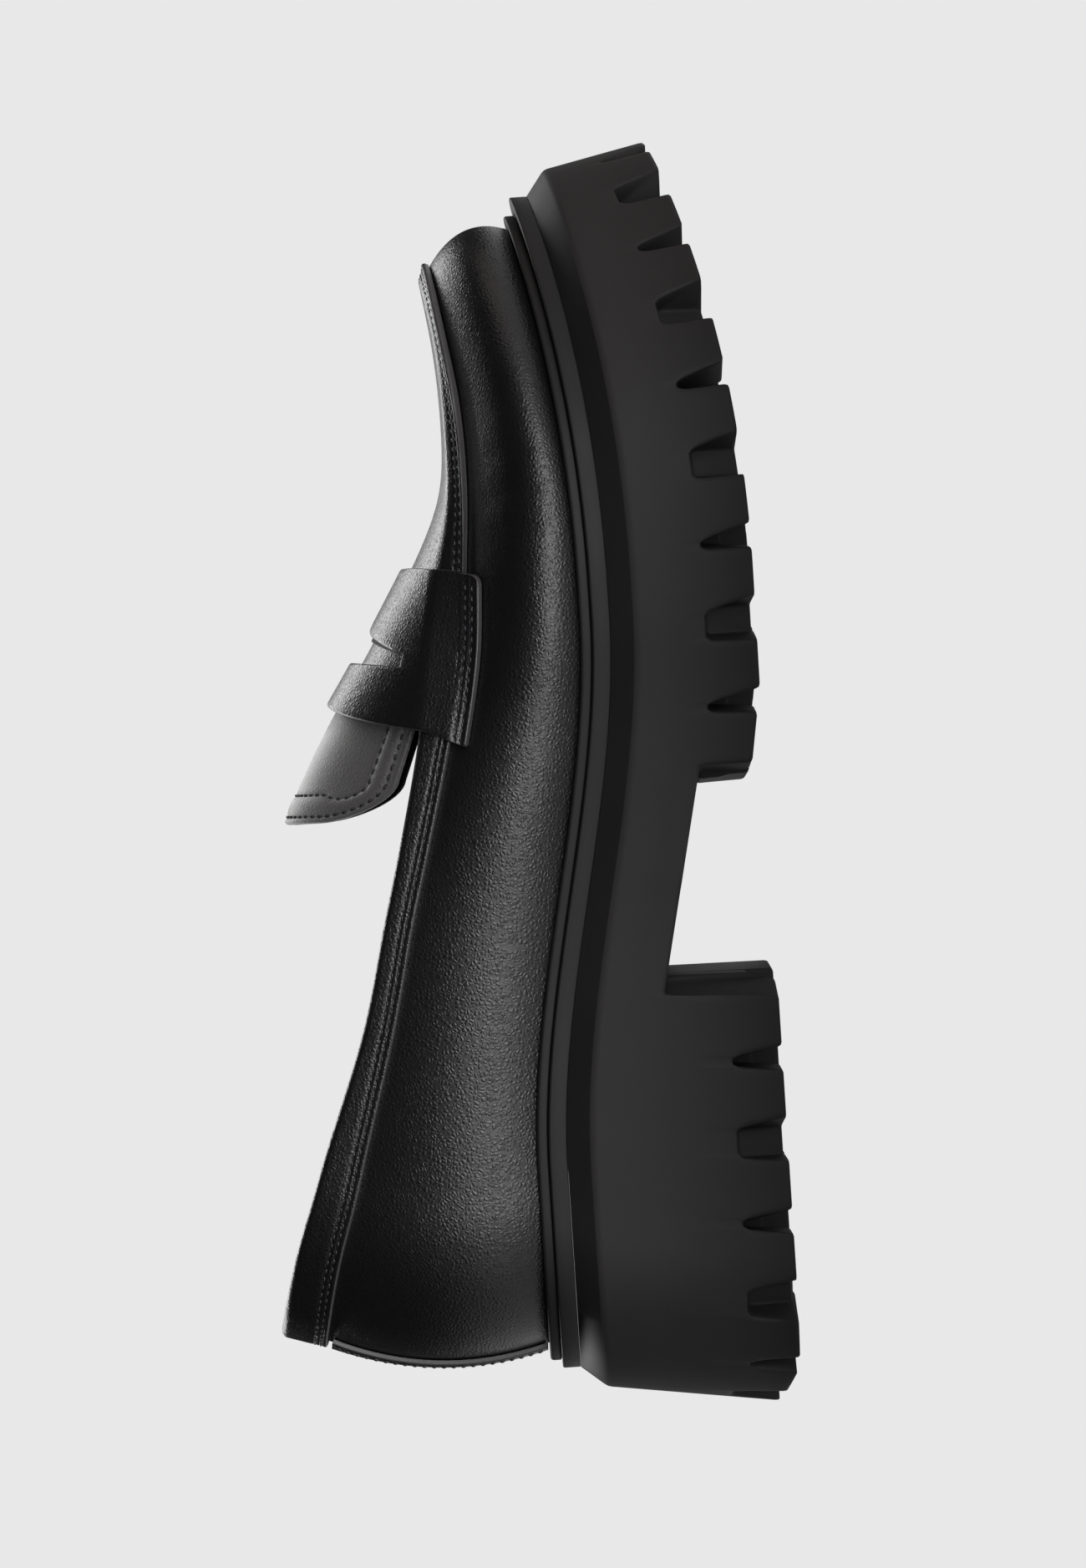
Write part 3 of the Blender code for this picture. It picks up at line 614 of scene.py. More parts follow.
@dataclass(frozen=True)
class Stitch:
    """A row of sewn stitches: short humped lengths of thread that dive into the leather."""

    pitch: float = 2.1 * MM
    length: float = 1.62 * MM
    radius: float = 0.23 * MM
    lift: float = 0.12 * MM
    sink: float = 0.30 * MM
    rings: int = 6
    sides: int = 6

    def row(self, path: np.ndarray, normals: np.ndarray) -> Body:
        """Stitches along a path. Each is a tube whose radius falls to nothing at both ends with
        the square root of 1 less the fourth power, and whose middle is lifted by a parabola.

        Args:
            path: the seam's line on the leather's face.
            normals: the face's unit normals along it.

        Returns:
            All the row's tubes.
        """
        arc = np.concatenate([[0.0], np.cumsum(np.linalg.norm(np.diff(path, axis=0), axis=1))])
        count = max(1, int(arc[-1] // self.pitch))
        middles = (np.arange(count) + 0.5) * arc[-1] / count
        u = np.linspace(-1.0, 1.0, self.rings)
        s = middles[:, None] + u * self.length / 2

        def at(values: np.ndarray, place: np.ndarray) -> np.ndarray:
            """Values along the arc."""
            return np.stack([np.interp(place, arc, values[:, axis]) for axis in range(3)], axis=-1)

        along = at(path, s + 0.2 * MM) - at(path, s - 0.2 * MM)
        along /= np.linalg.norm(along, axis=-1, keepdims=True)
        up = at(normals, s)
        side = np.cross(along, up)
        middle = at(path, s) + up * (self.lift - (self.lift + self.sink) * u**2)[:, None]
        thick = self.radius * np.sqrt(np.clip(1.0 - u**4, 0.0, None))
        angle = np.linspace(0.0, 2 * np.pi, self.sides, endpoint=False)
        ring = side[:, :, None] * np.cos(angle)[:, None] + up[:, :, None] * np.sin(angle)[:, None]
        tubes = middle[:, :, None] + ring * thick[:, None, None]
        cells = grid_cells(self.rings, self.sides, (False, True)).reshape(-1, 4)
        starts = np.arange(count)[:, None, None] * self.rings * self.sides
        faces = (cells + starts).reshape(-1, 4)
        return Body(tubes.reshape(-1, 3), faces, np.zeros(len(faces), int))


# Finishes


def linear(code: str) -> tuple[float, float, float, float]:
    """An sRGB hex colour as linear red, green, blue and full alpha."""
    value = np.array([int(code[i : i + 2], 16) for i in (1, 3, 5)]) / 255
    value = np.where(value <= 0.04045, value / 12.92, ((value + 0.055) / 1.055) ** 2.4)
    return (*value.tolist(), 1.0)


def feed(tree: bpy.types.NodeTree, node: bpy.types.Node, inputs: dict) -> None:
    """Sets each named socket of a node to its value, or links it to another node's output."""
    for name, value in inputs.items():
        if isinstance(value, bpy.types.NodeSocket):
            tree.links.new(value, node.inputs[name])
        else:
            node.inputs[name].default_value = value


def add_node(tree: bpy.types.NodeTree, kind: str, inputs: dict, **settings: str) -> bpy.types.Node:
    """Adds a shader node.

    Args:
        tree: the material's or the world's nodes.
        kind: Blender's name for the node type, without its first word.
        inputs: for each socket, by name or number, a value or another node's output.
        settings: the node's own properties.

    Returns:
        The node.
    """
    node = tree.nodes.new("Shader" + kind)
    for name, value in settings.items():
        setattr(node, name, value)
    feed(tree, node, inputs)
    return node


def new_material(name: str) -> tuple[bpy.types.Material, bpy.types.NodeTree, bpy.types.Node]:
    """A material, its nodes and its Principled shader."""
    material = bpy.data.materials.new(name)
    material.use_nodes = True
    return material, material.node_tree, material.node_tree.nodes["Principled BSDF"]


def camera_sees(
    tree: bpy.types.NodeTree, room: bpy.types.Node, seen: bpy.types.Node, out: str
) -> None:
    """Gives camera rays one look and the rays that light the shoe another.

    Args:
        tree: the nodes of the floor's material or of the world.
        room: what lights the shoe.
        seen: what the camera sees.
        out: the name of the output node.
    """
    path = add_node(tree, "NodeLightPath", {})
    looks = {0: path.outputs["Is Camera Ray"], 1: room.outputs[0], 2: seen.outputs[0]}
    mixed = add_node(tree, "NodeMixShader", looks)
    feed(tree, tree.nodes[out], {"Surface": mixed.outputs[0]})


class Look(NamedTuple):
    """What a finish's pattern drives: the tone, the bump with its depth, and the roughness."""

    tone: bpy.types.NodeSocket
    height: bpy.types.NodeSocket
    depth_mm: float
    rough: bpy.types.NodeSocket | float


@dataclass(frozen=True)
class Finish:
    """What all finishes share: two tones that a noise mixes, a bump, and their shine."""

    name: str
    dark: str
    pale: str
    rough: float
    strength: float = 1.0
    specular: float = 0.5
    sheen: float = 0.0

    def pattern(self, tree: bpy.types.NodeTree, place: bpy.types.NodeSocket) -> Look:
        """The finish's own nodes, on the object's coordinates."""
        raise NotImplementedError

    def make(self) -> bpy.types.Material:
        """The material, with the pattern linked to its shader."""
        material, tree, shader = new_material(self.name)
        place = add_node(tree, "NodeTexCoord", {}).outputs["Object"]
        look = self.pattern(tree, place)
        tones = {"Factor": look.tone, "A": linear(self.dark), "B": linear(self.pale)}
        tone = add_node(tree, "NodeMix", tones, data_type="RGBA")
        relief = {"Strength": self.strength, "Distance": look.depth_mm * MM, "Height": look.height}
        bump = add_node(tree, "NodeBump", relief)
        sockets = {
            "Base Color": tone.outputs["Result"],
            "Normal": bump.outputs[0],
            "Roughness": look.rough,
            "Specular IOR Level": self.specular,
            "Sheen Weight": self.sheen,
        }
        feed(tree, shader, sockets)
        return material


@dataclass(frozen=True)
class PebbledLeather(Finish):
    """Corrected-grain cowhide, drum dyed black, embossed with a fine pebble and sprayed with a
    satin acrylic coat: rounded pebbles catch broad soft lights, and their valleys are duller."""

    valley_rough: float = 0.36
    pebble_mm: float = 0.90
    depth_mm: float = 0.052
    pore_mm: float = 0.22

    def pattern(self, tree: bpy.types.NodeTree, place: bpy.types.NodeSocket) -> Look:
        """Voronoi pebbles on coordinates bent by noise, with fine pores on top, and a tone that
        clouds over 14 mm."""
        size = self.pebble_mm * MM
        waves = {"Vector": place, "Scale": 1 / (3.2 * size), "Detail": 1.0}
        bend = add_node(tree, "NodeTexNoise", waves).outputs["Color"]
        moved = {0: bend, 1: (0.9 * size,) * 3, 2: place}
        bent = add_node(tree, "NodeVectorMath", moved, operation="MULTIPLY_ADD").outputs[0]
        scaled = {"Vector": bent, "Scale": 1 / size}
        cells = add_node(tree, "NodeTexVoronoi", scaled, feature="DISTANCE_TO_EDGE")
        domed = {"Value": cells.outputs["Distance"], "From Max": 0.42}
        pebbles = add_node(tree, "NodeMapRange", domed, interpolation_type="SMOOTHSTEP").outputs[0]
        fine = {"Vector": place, "Scale": 1 / (self.pore_mm * MM), "Detail": 2.0}
        pores = add_node(tree, "NodeTexNoise", fine).outputs["Fac"]
        added = {0: pores, 1: 0.22, 2: pebbles}
        height = add_node(tree, "NodeMath", added, operation="MULTIPLY_ADD").outputs[0]
        broad = {"Vector": place, "Scale": 1 / (14 * MM), "Detail": 3.0}
        cloud = add_node(tree, "NodeTexNoise", broad).outputs["Fac"]
        shine = {"Value": pebbles, "To Min": self.valley_rough, "To Max": self.rough}
        gloss = add_node(tree, "NodeMapRange", shine).outputs[0]
        return Look(cloud, height, self.depth_mm, gloss)


@dataclass(frozen=True)
class MouldedRubber(Finish):
    """Black EVA and rubber blend, injection moulded in an etched mould: an even matt skin with a
    fine orange peel that breaks up its soft lights."""

    peel_mm: float = 0.45
    depth_mm: float = 0.05

    def pattern(self, tree: bpy.types.NodeTree, place: bpy.types.NodeSocket) -> Look:
        """A tone and shine that cloud over 22 mm, and a fine noise for the peel."""
        broad = {"Vector": place, "Scale": 1 / (22 * MM), "Detail": 5.0}
        cloud = add_node(tree, "NodeTexNoise", broad).outputs["Fac"]
        fine = {"Vector": place, "Scale": 1 / (self.peel_mm * MM), "Detail": 2.0}
        peel = add_node(tree, "NodeTexNoise", fine).outputs["Fac"]
        shine = {"Value": cloud, "To Min": self.rough - 0.06, "To Max": self.rough + 0.06}
        gloss = add_node(tree, "NodeMapRange", shine).outputs[0]
        return Look(cloud, peel, self.depth_mm, gloss)


@dataclass(frozen=True)
class FineSurface(Finish):
    """A finish whose grain is plain noise: painted cut edges, thread, felt, lining."""

    grain_mm: float = 0.30

    def pattern(self, tree: bpy.types.NodeTree, place: bpy.types.NodeSocket) -> Look:
        """One noise drives the tone and the bump."""
        fine = {"Vector": place, "Scale": 1 / (self.grain_mm * MM), "Detail": 3.0}
        grain = add_node(tree, "NodeTexNoise", fine).outputs["Fac"]
        return Look(grain, grain, self.grain_mm * 0.3, self.rough)


CALF = PebbledLeather("pebbled_black_calf", "#09090a", "#111113", 0.31)
# The tongue's leather is the same hide, matt with a faint nap; its tone is painted paler than the
# rest, a painted highlight for the light that its up-facing top catches
PALE_PAINTED_CALF = PebbledLeather(
    "black_calf_painted_paler_for_light", "#242222", "#302d2d", 0.50, sheen=0.8, valley_rough=0.62
)
SOLE_RUBBER = MouldedRubber("moulded_rubber_sole", "#252323", "#2d2b2b", 0.62, 0.30, 0.32)
# The welt's rubber, darker than the sole's; on the sole's chamfer it is painted shade
WELT_RUBBER_AND_CHAMFER_SHADE = MouldedRubber("moulded_rubber_welt_and_chamfer_shade", "#131212", "#1a1819", 0.56, 0.30, 0.32)
# Edges cut with a die and painted with black edge dye, smooth; the tone is set grey as a painted
# highlight, the light line that the rounded edges catch
EDGE_DYE_AND_HIGHLIGHT = FineSurface("edge_dye_and_painted_highlight", "#2c2a2b", "#3d3b3c", 0.40, 0.35, grain_mm=0.35)
# Bonded polyester thread, black, with the hard small lights of a waxed filament; its tone is set a
# little grey, a painted highlight for the light specks that the stitches catch
THREAD_WITH_HIGHLIGHT = FineSurface("polyester_thread_painted_highlight", "#18181b", "#2c2c31", 0.28, 0.5, grain_mm=0.12)
# The tongue's rows are sewn with a thicker twisted cord, dull and deep black
CORD = FineSurface("twisted_black_cord", "#040404", "#0a0a0a", 0.6, 0.8, grain_mm=0.20)
# Needled felt between the tongue's leather and its lining: dull and fibrous
FELT = FineSurface("needled_felt", "#0b0b0b", "#1b1a19", 0.95, 1.0, 0.2, 0.3, 0.45)
# Black pigskin-look microfibre lining, brushed: matt with a faint nap
LINING = FineSurface("microfibre_lining", "#131314", "#1b1b1c", 0.88, 0.6, 0.25, 0.2, 0.30)


@dataclass
class Wardrobe:
    """All finishes, each made once."""

    leather: bpy.types.Material = field(default_factory=CALF.make)
    # The tongue's calf, its tone painted paler as a highlight
    pale_painted_calf: bpy.types.Material = field(default_factory=PALE_PAINTED_CALF.make)
    rubber: bpy.types.Material = field(default_factory=SOLE_RUBBER.make)
    # Also the sole's chamfer, where its darker tone is painted shade
    welt: bpy.types.Material = field(default_factory=WELT_RUBBER_AND_CHAMFER_SHADE.make)
    # Cut edges, their dye painted paler as a highlight along them
    cut_edge_and_highlight: bpy.types.Material = field(default_factory=EDGE_DYE_AND_HIGHLIGHT.make)
    # Thread, its tone painted a little grey as a highlight
    thread: bpy.types.Material = field(default_factory=THREAD_WITH_HIGHLIGHT.make)
    cord: bpy.types.Material = field(default_factory=CORD.make)
    felt: bpy.types.Material = field(default_factory=FELT.make)
    lining: bpy.types.Material = field(default_factory=LINING.make)


@dataclass
class Part:
    """What each sub-assembly has: the last that it is shaped on, and the finishes."""

    last: Last
    wardrobe: Wardrobe

    def leather(self, body: Body, name: str, node: str) -> None:
        """Puts a leather body into the scene: its grain side, its lined side and its cut edge,
        whose finish is painted paler as a highlight.
        """
        finishes = [self.wardrobe.leather, self.wardrobe.lining, self.wardrobe.cut_edge_and_highlight]
        body.piece(name, finishes, Slot.LEATHER, (node,))


# The shoe


@dataclass
class Upper(Part):
    """The hollow upper of vamp and quarters."""

    wall: float = WALL
    lift: float = 0.00006
    stations: int = 240

    def build(self) -> list[Body]:
        """The shell: all of the last's surface but the cap behind the throat, with the creases
        pressed in, and the same surface a wall's thickness inside it as the lining. One station
        lies on the throat line. No stitch rows are its own."""
        last = self.last
        wall = np.linspace(1.0, last.seam, 37)
        band = np.linspace(last.seam, last.edge, 6)[1:]
        cap = last.edge * np.linspace(1.0, 0.0, 9)[1:]
        turns = np.linspace(0.0, 1.0, self.stations + 1)
        throat = last.ridge_turn(last.throat_x)
        turns[np.abs(turns - throat).argmin()] = throat
        across = both_sides(np.concatenate([wall, band, cap]))
        turn, across = np.meshgrid(turns, across, indexing="ij")
        widest = np.maximum(np.abs(across[:-1, :-1]), np.abs(across[:-1, 1:]))
        keep = ~((widest <= last.edge + TINY) & (turn[:-1, :-1] < throat - 1e-6))
        outside = last.off(turn, across, -last.creased(turn, across))
        inside = last.off(turn, across, -self.wall)
        foot = np.abs(across) > 1.0 - TINY
        for sheet in (outside, inside):
            seat = last.seat_height(sheet[..., 0]) + self.lift
            sheet[..., 2] = np.where(foot, seat, sheet[..., 2])
        self.leather(Body.shell(outside, inside, keep), "vamp_and_quarters", "upper")
        return []


@dataclass
class HeelStrip(Part):
    """The narrow strip up the back of the heel, sewn down along both edges."""

    width: float = 0.0200
    thickness: float = 0.0012
    gap: float = GAP
    edge_round: float = 0.45 * MM
    rows_in: tuple[float, float] = (1.3 * MM, 2.6 * MM)
    groove: float = 0.16 * MM
    groove_width: float = 0.35 * MM
    top_in: float = 0.012
    foot: float = 0.992

    def sheet(self, depth: np.ndarray, rows: np.ndarray, up: np.ndarray | float) -> Pair:
        """Points and normals on the strip, by how far in from its edge they lie: negative from
        the outer edge and positive from the inner."""
        last, reach = self.last, self.width / 2
        depth, row = np.broadcast_arrays(depth, rows)
        width = np.clip(reach - np.abs(depth), 0.0, reach)
        middle = last.form(np.zeros(1), np.ones(1) * 0.75)[0, 1]
        turn = last.turn_where(
            lambda point: np.abs(point[..., 1] - middle) >= width, np.abs(row), high=0.2
        )
        turn = np.where(width < 1e-7, 0.0, turn)
        across = np.where(depth < 0.0, -row, row)
        return last.off(turn, across, np.asarray(up)), last.facing(turn, across)

    def build(self) -> list[Body]:
        """The strip, its two cut edges rounded, and two stitch rows along each edge."""
        last = self.last
        near = np.array([0.0, 0.08, 0.2, 0.4, 0.7, 1.0, 1.3, 1.6, 2.0, 2.4, 2.7, 3.1, 3.6]) * MM
        half = np.concatenate([near, np.linspace(4.4 * MM, self.width / 2, 7)])
        depth = both_sides(half)[:, None]
        depth[0], depth[-1] = -TINY, TINY
        rows = np.linspace(last.seam + self.top_in, self.foot, 42)[None, :]
        inward = np.abs(depth)
        relief = rounded(inward, self.edge_round)
        for row in self.rows_in:
            relief = relief + self.groove * hump(inward, row, self.groove_width)
        top, _ = self.sheet(depth, rows, self.gap + self.thickness - relief)
        under, _ = self.sheet(depth, rows, self.gap)
        inward = np.broadcast_to(inward, top.shape[:2])
        self.leather(Body.shell(top, under, depth=inward), "heel_strip_cover", "heel_strip")
        down = np.linspace(last.seam + self.top_in + 0.004, self.foot - 0.007, 60)
        face = self.gap + self.thickness
        places = [side * row for row in self.rows_in for side in (-1.0, 1.0)]
        return [Stitch().row(*self.sheet(np.full_like(down, at), down, face)) for at in places]


@dataclass
class Apron(Part):
    """The raised plug over the toes, with its steep side band and stitched, rounded edge."""

    gap: float = GAP
    thickness: float = PLY
    end_x: float = 0.0235
    stations: int = 170
    rows_in: tuple[float, float] = (1.4 * MM, 2.7 * MM)
    groove: float = 0.22 * MM
    bead: float = 0.35 * MM
    edge_round: float = 0.7 * MM

    def across(self, turn: np.ndarray, depth: np.ndarray) -> np.ndarray:
        """The place across that lies a depth in from the apron's cut edge."""
        last = self.last
        return last.seam - (last.seam - last.edge) * depth / last.band_width(turn)

    def rise(self, depth: np.ndarray) -> np.ndarray:
        """Height of the leather's face at a depth in from the cut edge: a rounded edge, a bead
        behind it where the edge is turned, and a groove under each stitch row."""
        height = self.thickness - rounded(depth, self.edge_round)
        height = height + self.bead * hump(depth, 0.3 * MM, 0.8 * MM)
        return self.gap + height - pressed(depth, self.rows_in, self.groove)

    def build(self) -> list[Body]:
        """The apron as one shell, and its two stitch rows round the toe."""
        last = self.last
        back = last.ridge_turn(self.end_x)
        turns = np.linspace(back, 1.0, self.stations)
        near = np.array([0, 0.06, 0.16, 0.32, 0.55, 0.8, 1.1, 1.4, 1.7, 2.05, 2.4, 2.7, 3.0, 3.4])
        near = near * MM
        width = last.band_width(turns)[:, None]
        share = near[-1] / width + (1.0 - near[-1] / width) * np.linspace(0.0, 1.0, 7)[1:]
        depth = np.concatenate([np.broadcast_to(near, (len(turns), len(near))), share * width], 1)
        band = last.seam - (last.seam - last.edge) * depth / width
        cap = last.edge * (1.0 - np.linspace(0.0, 1.0, 31)[1:] ** 0.8)
        half = np.concatenate([band, np.broadcast_to(cap, (len(turns), len(cap)))], axis=1)
        inward = np.concatenate([depth, np.full((len(turns), len(cap)), 0.02)], axis=1)
        across, inward = both_sides(half), both_sides(inward, 1.0)
        turn = np.broadcast_to(turns[:, None], across.shape)
        top = last.off(turn, across, self.rise(inward))
        under = last.off(turn, across, self.gap)
        self.leather(Body.shell(top, under, depth=inward), "apron_plug", "apron")
        return [self.seam(row, back) for row in self.rows_in]

    def seam(self, depth: float, back: float) -> Body:
        """One stitch row, from under the strap round the toe and back on the other side."""
        last = self.last
        there = np.linspace(back, 1.0, 240)
        turn = both_sides(there, 1.0)
        side = np.where(np.arange(len(turn)) < len(there), -1.0, 1.0)
        across = side * self.across(turn, np.full_like(turn, depth))
        path = last.off(turn, across, self.rise(np.array(depth)))
        return Stitch().row(path, last.facing(turn, across))


@dataclass
class Topline(Part):
    """The strip sewn round the collar. It turns over the top edge and lines the mouth."""

    gap: float = GAP
    thickness: float = PLY
    wall: float = WALL
    end_x: float = 0.0210
    stations: int = 260
    rows_in: tuple[float, float] = (1.5 * MM, 2.8 * MM)
    groove: float = 0.20 * MM
    edge_round: float = 0.5 * MM
    lining: float = 0.5 * MM
    hem: float = 0.4 * MM
    overlap: float = 0.3 * MM
    roll_squash: float = 0.8

    def place(self, signed: np.ndarray, down: np.ndarray, up: np.ndarray) -> Pair:
        """Points and normals by how far down from the top edge and how far out they lie. Past
        the top edge the strip carries on straight.

        Args:
            signed: turns, negative on the outer side and positive on the inner.
            down: metres below the top edge, negative above it.
            up: metres outside the last.

        Returns:
            Points and unit normals.
        """
        last = self.last
        signed, down, up = np.broadcast_arrays(signed, down, up)
        turn, side = np.abs(signed), np.where(signed < 0.0, -1.0, 1.0)
        width = last.band_width(turn)
        share = np.clip(down, 0.0, None) / width
        place = last.edge + (last.seam - last.edge) * share
        rising = last.hard_form(turn, side * last.edge) - last.hard_form(turn, side * last.seam)
        rising = rising / width[..., None]
        probe = np.maximum(place, last.edge + 0.3 * (last.seam - last.edge))
        normal = last.normals(last.hard_form, turn, side * np.minimum(probe, last.seam - 0.002))
        over = np.clip(-down, 0.0, None)[..., None]
        point = last.hard_form(turn, side * place) + rising * over + normal * up[..., None]
        return point, normal

    def build(self) -> list[Body]:
        """The strip's profile carried round the collar, and its two stitch rows. The profile
        goes up the face, over the top in a half round, down the lining side and back under."""
        front = self.last.ridge_turn(self.end_x)
        signed = front * np.sin(np.linspace(-1.0, 1.0, self.stations) * np.pi / 2)
        signed = np.where(np.abs(signed) < TINY, TINY, signed)
        width = self.last.band_width(np.abs(signed))[:, None]
        depth = np.array([0, 0.06, 0.16, 0.3, 0.5, 0.8, 1.1, 1.5, 1.85, 2.15, 2.5, 2.8, 3.1, 3.5])
        depth = depth * MM
        face = self.gap + self.thickness
        rise = face - rounded(depth, self.edge_round) - pressed(depth, self.rows_in, self.groove)
        inner = -self.wall - self.lining
        radius = (face - inner) / 2
        angle = np.linspace(0.0, np.pi, 11)
        profile = [(width, self.gap), (width - depth, rise)]
        profile += [((width - depth[-1]) * share, face) for share in (0.75, 0.5, 0.25)]
        rolled = inner + radius + radius * np.cos(angle)
        profile += [(-radius * np.sin(angle) * self.roll_squash, rolled)]
        profile += [(width * 0.5, inner), (width * 0.97, inner), (width * 0.99, inner + self.hem)]
        profile += [(-self.overlap, inner + self.hem), (-self.overlap, self.gap)]
        paired = [np.broadcast_arrays(down, up, signed[:, None])[:2] for down, up in profile]
        down, up = (np.concatenate(parts, axis=1) for parts in zip(*paired))
        grid, _ = self.place(signed[:, None], down, up)
        columns = np.arange(down.shape[1])
        # The cut edge and the first faces in from it take the edge finish, painted paler as a
        # highlight along the edge
        kind = np.where(columns < 4, 2, np.where(columns < len(columns) - 6, 0, 1))
        body = Body.tube(grid.transpose(1, 0, 2), (True, False), kind)
        self.leather(body, "collar_binding", "topline_band")
        return [self.seam(row, front) for row in self.rows_in]

    def seam(self, depth: float, front: float) -> Body:
        """One stitch row round the collar, above the strip's cut edge."""
        signed = front * np.sin(np.linspace(-0.99, 0.99, 500) * np.pi / 2)
        width = self.last.band_width(np.abs(signed))
        face = self.gap + self.thickness - self.groove
        path, normals = self.place(signed, width - depth, np.full_like(signed, face))
        return Stitch().row(path, normals)


@dataclass
class Strap(Part):
    """The saddle strap over the instep, with its slot and its two sewn ends."""

    gap: float = GAP
    apron_thickness: float = PLY
    clearance: float = 0.00015
    thickness: float = 0.0018
    front_x: float = 0.0471
    back_x: float = 0.0177
    front_end_x: float = 0.0449
    back_end_x: float = 0.0078
    end_below_seam: float = 0.0036
    step_down: float = 0.0034
    front_arch: float = 0.0002
    back_arch: float = 0.0006
    slot_x: float = 0.0299
    slot_sweep: float = 0.0029
    slot_length: float = 0.0062
    slot_end_length: float = 0.0024
    slot_width: float = 0.0520
    front_corner: float = 0.0022
    back_corner: float = 0.0010
    lobe_dip: float = 0.0003
    lobe_curl: float = 0.0014
    lobe_length: float = 0.0035
    # How far the dark underside reaches into the slot, as painted shade
    slot_shade_reach: float = 0.0008
    skive: float = 0.0006
    skive_length: float = 6 * MM
    edge_round: float = 0.5 * MM
    lip: float = 0.45 * MM
    rows_in: tuple[float, float] = (1.6 * MM, 2.9 * MM)
    groove: float = 0.22 * MM

    def __post_init__(self) -> None:
        """Works out where the strap ends across, and how many metres one unit across is."""
        last = self.last
        rise = last.rises["seam_up"][len(QUARTER)]
        self.end = last.seam + (1.0 - last.seam) * self.end_below_seam / rise
        self.stepped = last.seam + (1.0 - last.seam) * self.step_down / rise
        self.slot_end = last.edge * self.slot_width / 2 / last.vamp_edge
        turn = last.turn_of_x(self.slot_x, np.full(1, self.end))
        ends = last.hard_form(turn, self.end) - last.hard_form(turn, self.end - 0.02)
        self.per_across = float(np.linalg.norm(ends)) / 0.02

    def edges(self, across: np.ndarray) -> tuple[np.ndarray, np.ndarray]:
        """x of the front and back edge: each slants with a power of the way down, and turns in
        along a quarter circle at the sewn corners."""
        down = np.abs(across) / self.end
        depth = (self.end - np.abs(across)) * self.per_across
        front = self.front_x + down**4 * (self.front_end_x - self.front_x)
        back = self.back_x + down**1.5 * (self.back_end_x - self.back_x)
        front = front - rounded(depth, self.front_corner)
        return front, back + rounded(depth, self.back_corner)

    def slot_edges(self, across: np.ndarray) -> tuple[np.ndarray, np.ndarray]:
        """x of the slot's back and front edge: a crescent, widest on the ridge, whose ends sweep
        back with the square of the way out."""
        share = np.clip(np.abs(across) / self.slot_end, 0.0, 1.0) ** 2
        middle = self.slot_x - self.slot_sweep * share
        half = (self.slot_length - (self.slot_length - self.slot_end_length) * share) / 2
        return middle - half, middle + half

    def over_slot(self, across: np.ndarray) -> np.ndarray:
        """1 on the ridge, falling with the square to 0 at the slot's ends."""
        return np.clip(1.0 - (across / self.slot_end) ** 2, 0.0, None)

    def face(self, to_end: np.ndarray) -> np.ndarray:
        """The leather's thickness by how far in from the sewn end it lies: skived thinner."""
        return self.thickness - self.skive * (1.0 - smooth_step(to_end / self.skive_length))

    def sheet(self, x: np.ndarray, across: np.ndarray, over: np.ndarray) -> Pair:
        """Points and normals at a height over the strap's underside. The underside lies on vamp,
        apron and topline, steps up past the seam, and arches free over the ridge."""
        last = self.last
        turn = last.turn_of_x(x, across)
        raised = np.clip((self.stepped - np.abs(across)) / (self.stepped - last.seam), 0.0, 1.0)
        forward = (x - self.back_x) / (self.front_x - self.back_x)
        arch = self.back_arch + forward * (self.front_arch - self.back_arch)
        free = np.clip(1.0 - (across / last.edge) ** 2, 0.0, None)
        under = self.gap + smooth_step(raised) * (self.apron_thickness + self.clearance)
        under = under + arch * free
        _, slot_front = self.slot_edges(across)
        lobe = np.exp(-np.clip(x - slot_front, 0, 1) / self.lobe_length)
        lobe = np.where(x >= slot_front - TINY, lobe, 0)
        under = under - self.lobe_dip * self.over_slot(across) * lobe
        return last.off(turn, across, under + over), last.facing(turn, across)

    def build(self) -> list[Body]:
        """The strap as one shell, and its four stitch rows."""
        near = np.array([0, 0.06, 0.16, 0.32, 0.6, 0.9, 1.25, 1.6, 1.95, 2.25, 2.6, 2.9, 3.2, 3.7])
        ends = self.end - near * MM / self.per_across
        rest = np.linspace(ends[-1], self.slot_end, 26)[1:]
        slot = self.slot_end * np.sin(np.linspace(1.0, 0.0, 22) * np.pi / 2)[1:]
        across = both_sides(np.concatenate([ends, rest, slot]))
        front, back = self.edges(across)
        slot_back, slot_front = self.slot_edges(across)
        close = np.array([0.0, 0.012, 0.035, 0.07, 0.13])
        shares = np.concatenate([close, np.linspace(0.22, 0.78, 8), 1.0 - close[::-1]])[:, None]
        rear = back + shares * (slot_back - back)
        fore = slot_front + shares * (front - slot_front)
        x = np.concatenate([rear, fore])
        across = np.broadcast_to(across, x.shape)
        in_slot = np.abs(across) < self.slot_end + TINY
        to_end = (self.end - np.abs(across)) * self.per_across
        to_slot = np.where(x < slot_back + TINY, slot_back - x, x - slot_front)
        depth = np.minimum(np.minimum(x - back, front - x), to_end)
        depth = np.where(in_slot, np.minimum(depth, to_slot), depth)
        rise = self.face(to_end) - rounded(np.clip(depth, 0.0, None), self.edge_round)
        # Behind the slot the edge curls down to a thin lip
        curled = rounded(np.clip(x - slot_front, 0.0, None), self.lobe_curl)
        curled = curled * self.over_slot(across) * (x >= slot_front - TINY)
        rise = np.maximum(rise - curled, np.minimum(rise, self.lip))
        grooves = pressed(to_end, self.rows_in, self.groove)
        top, _ = self.sheet(x, across, rise - grooves * (depth > 0.5 * MM))
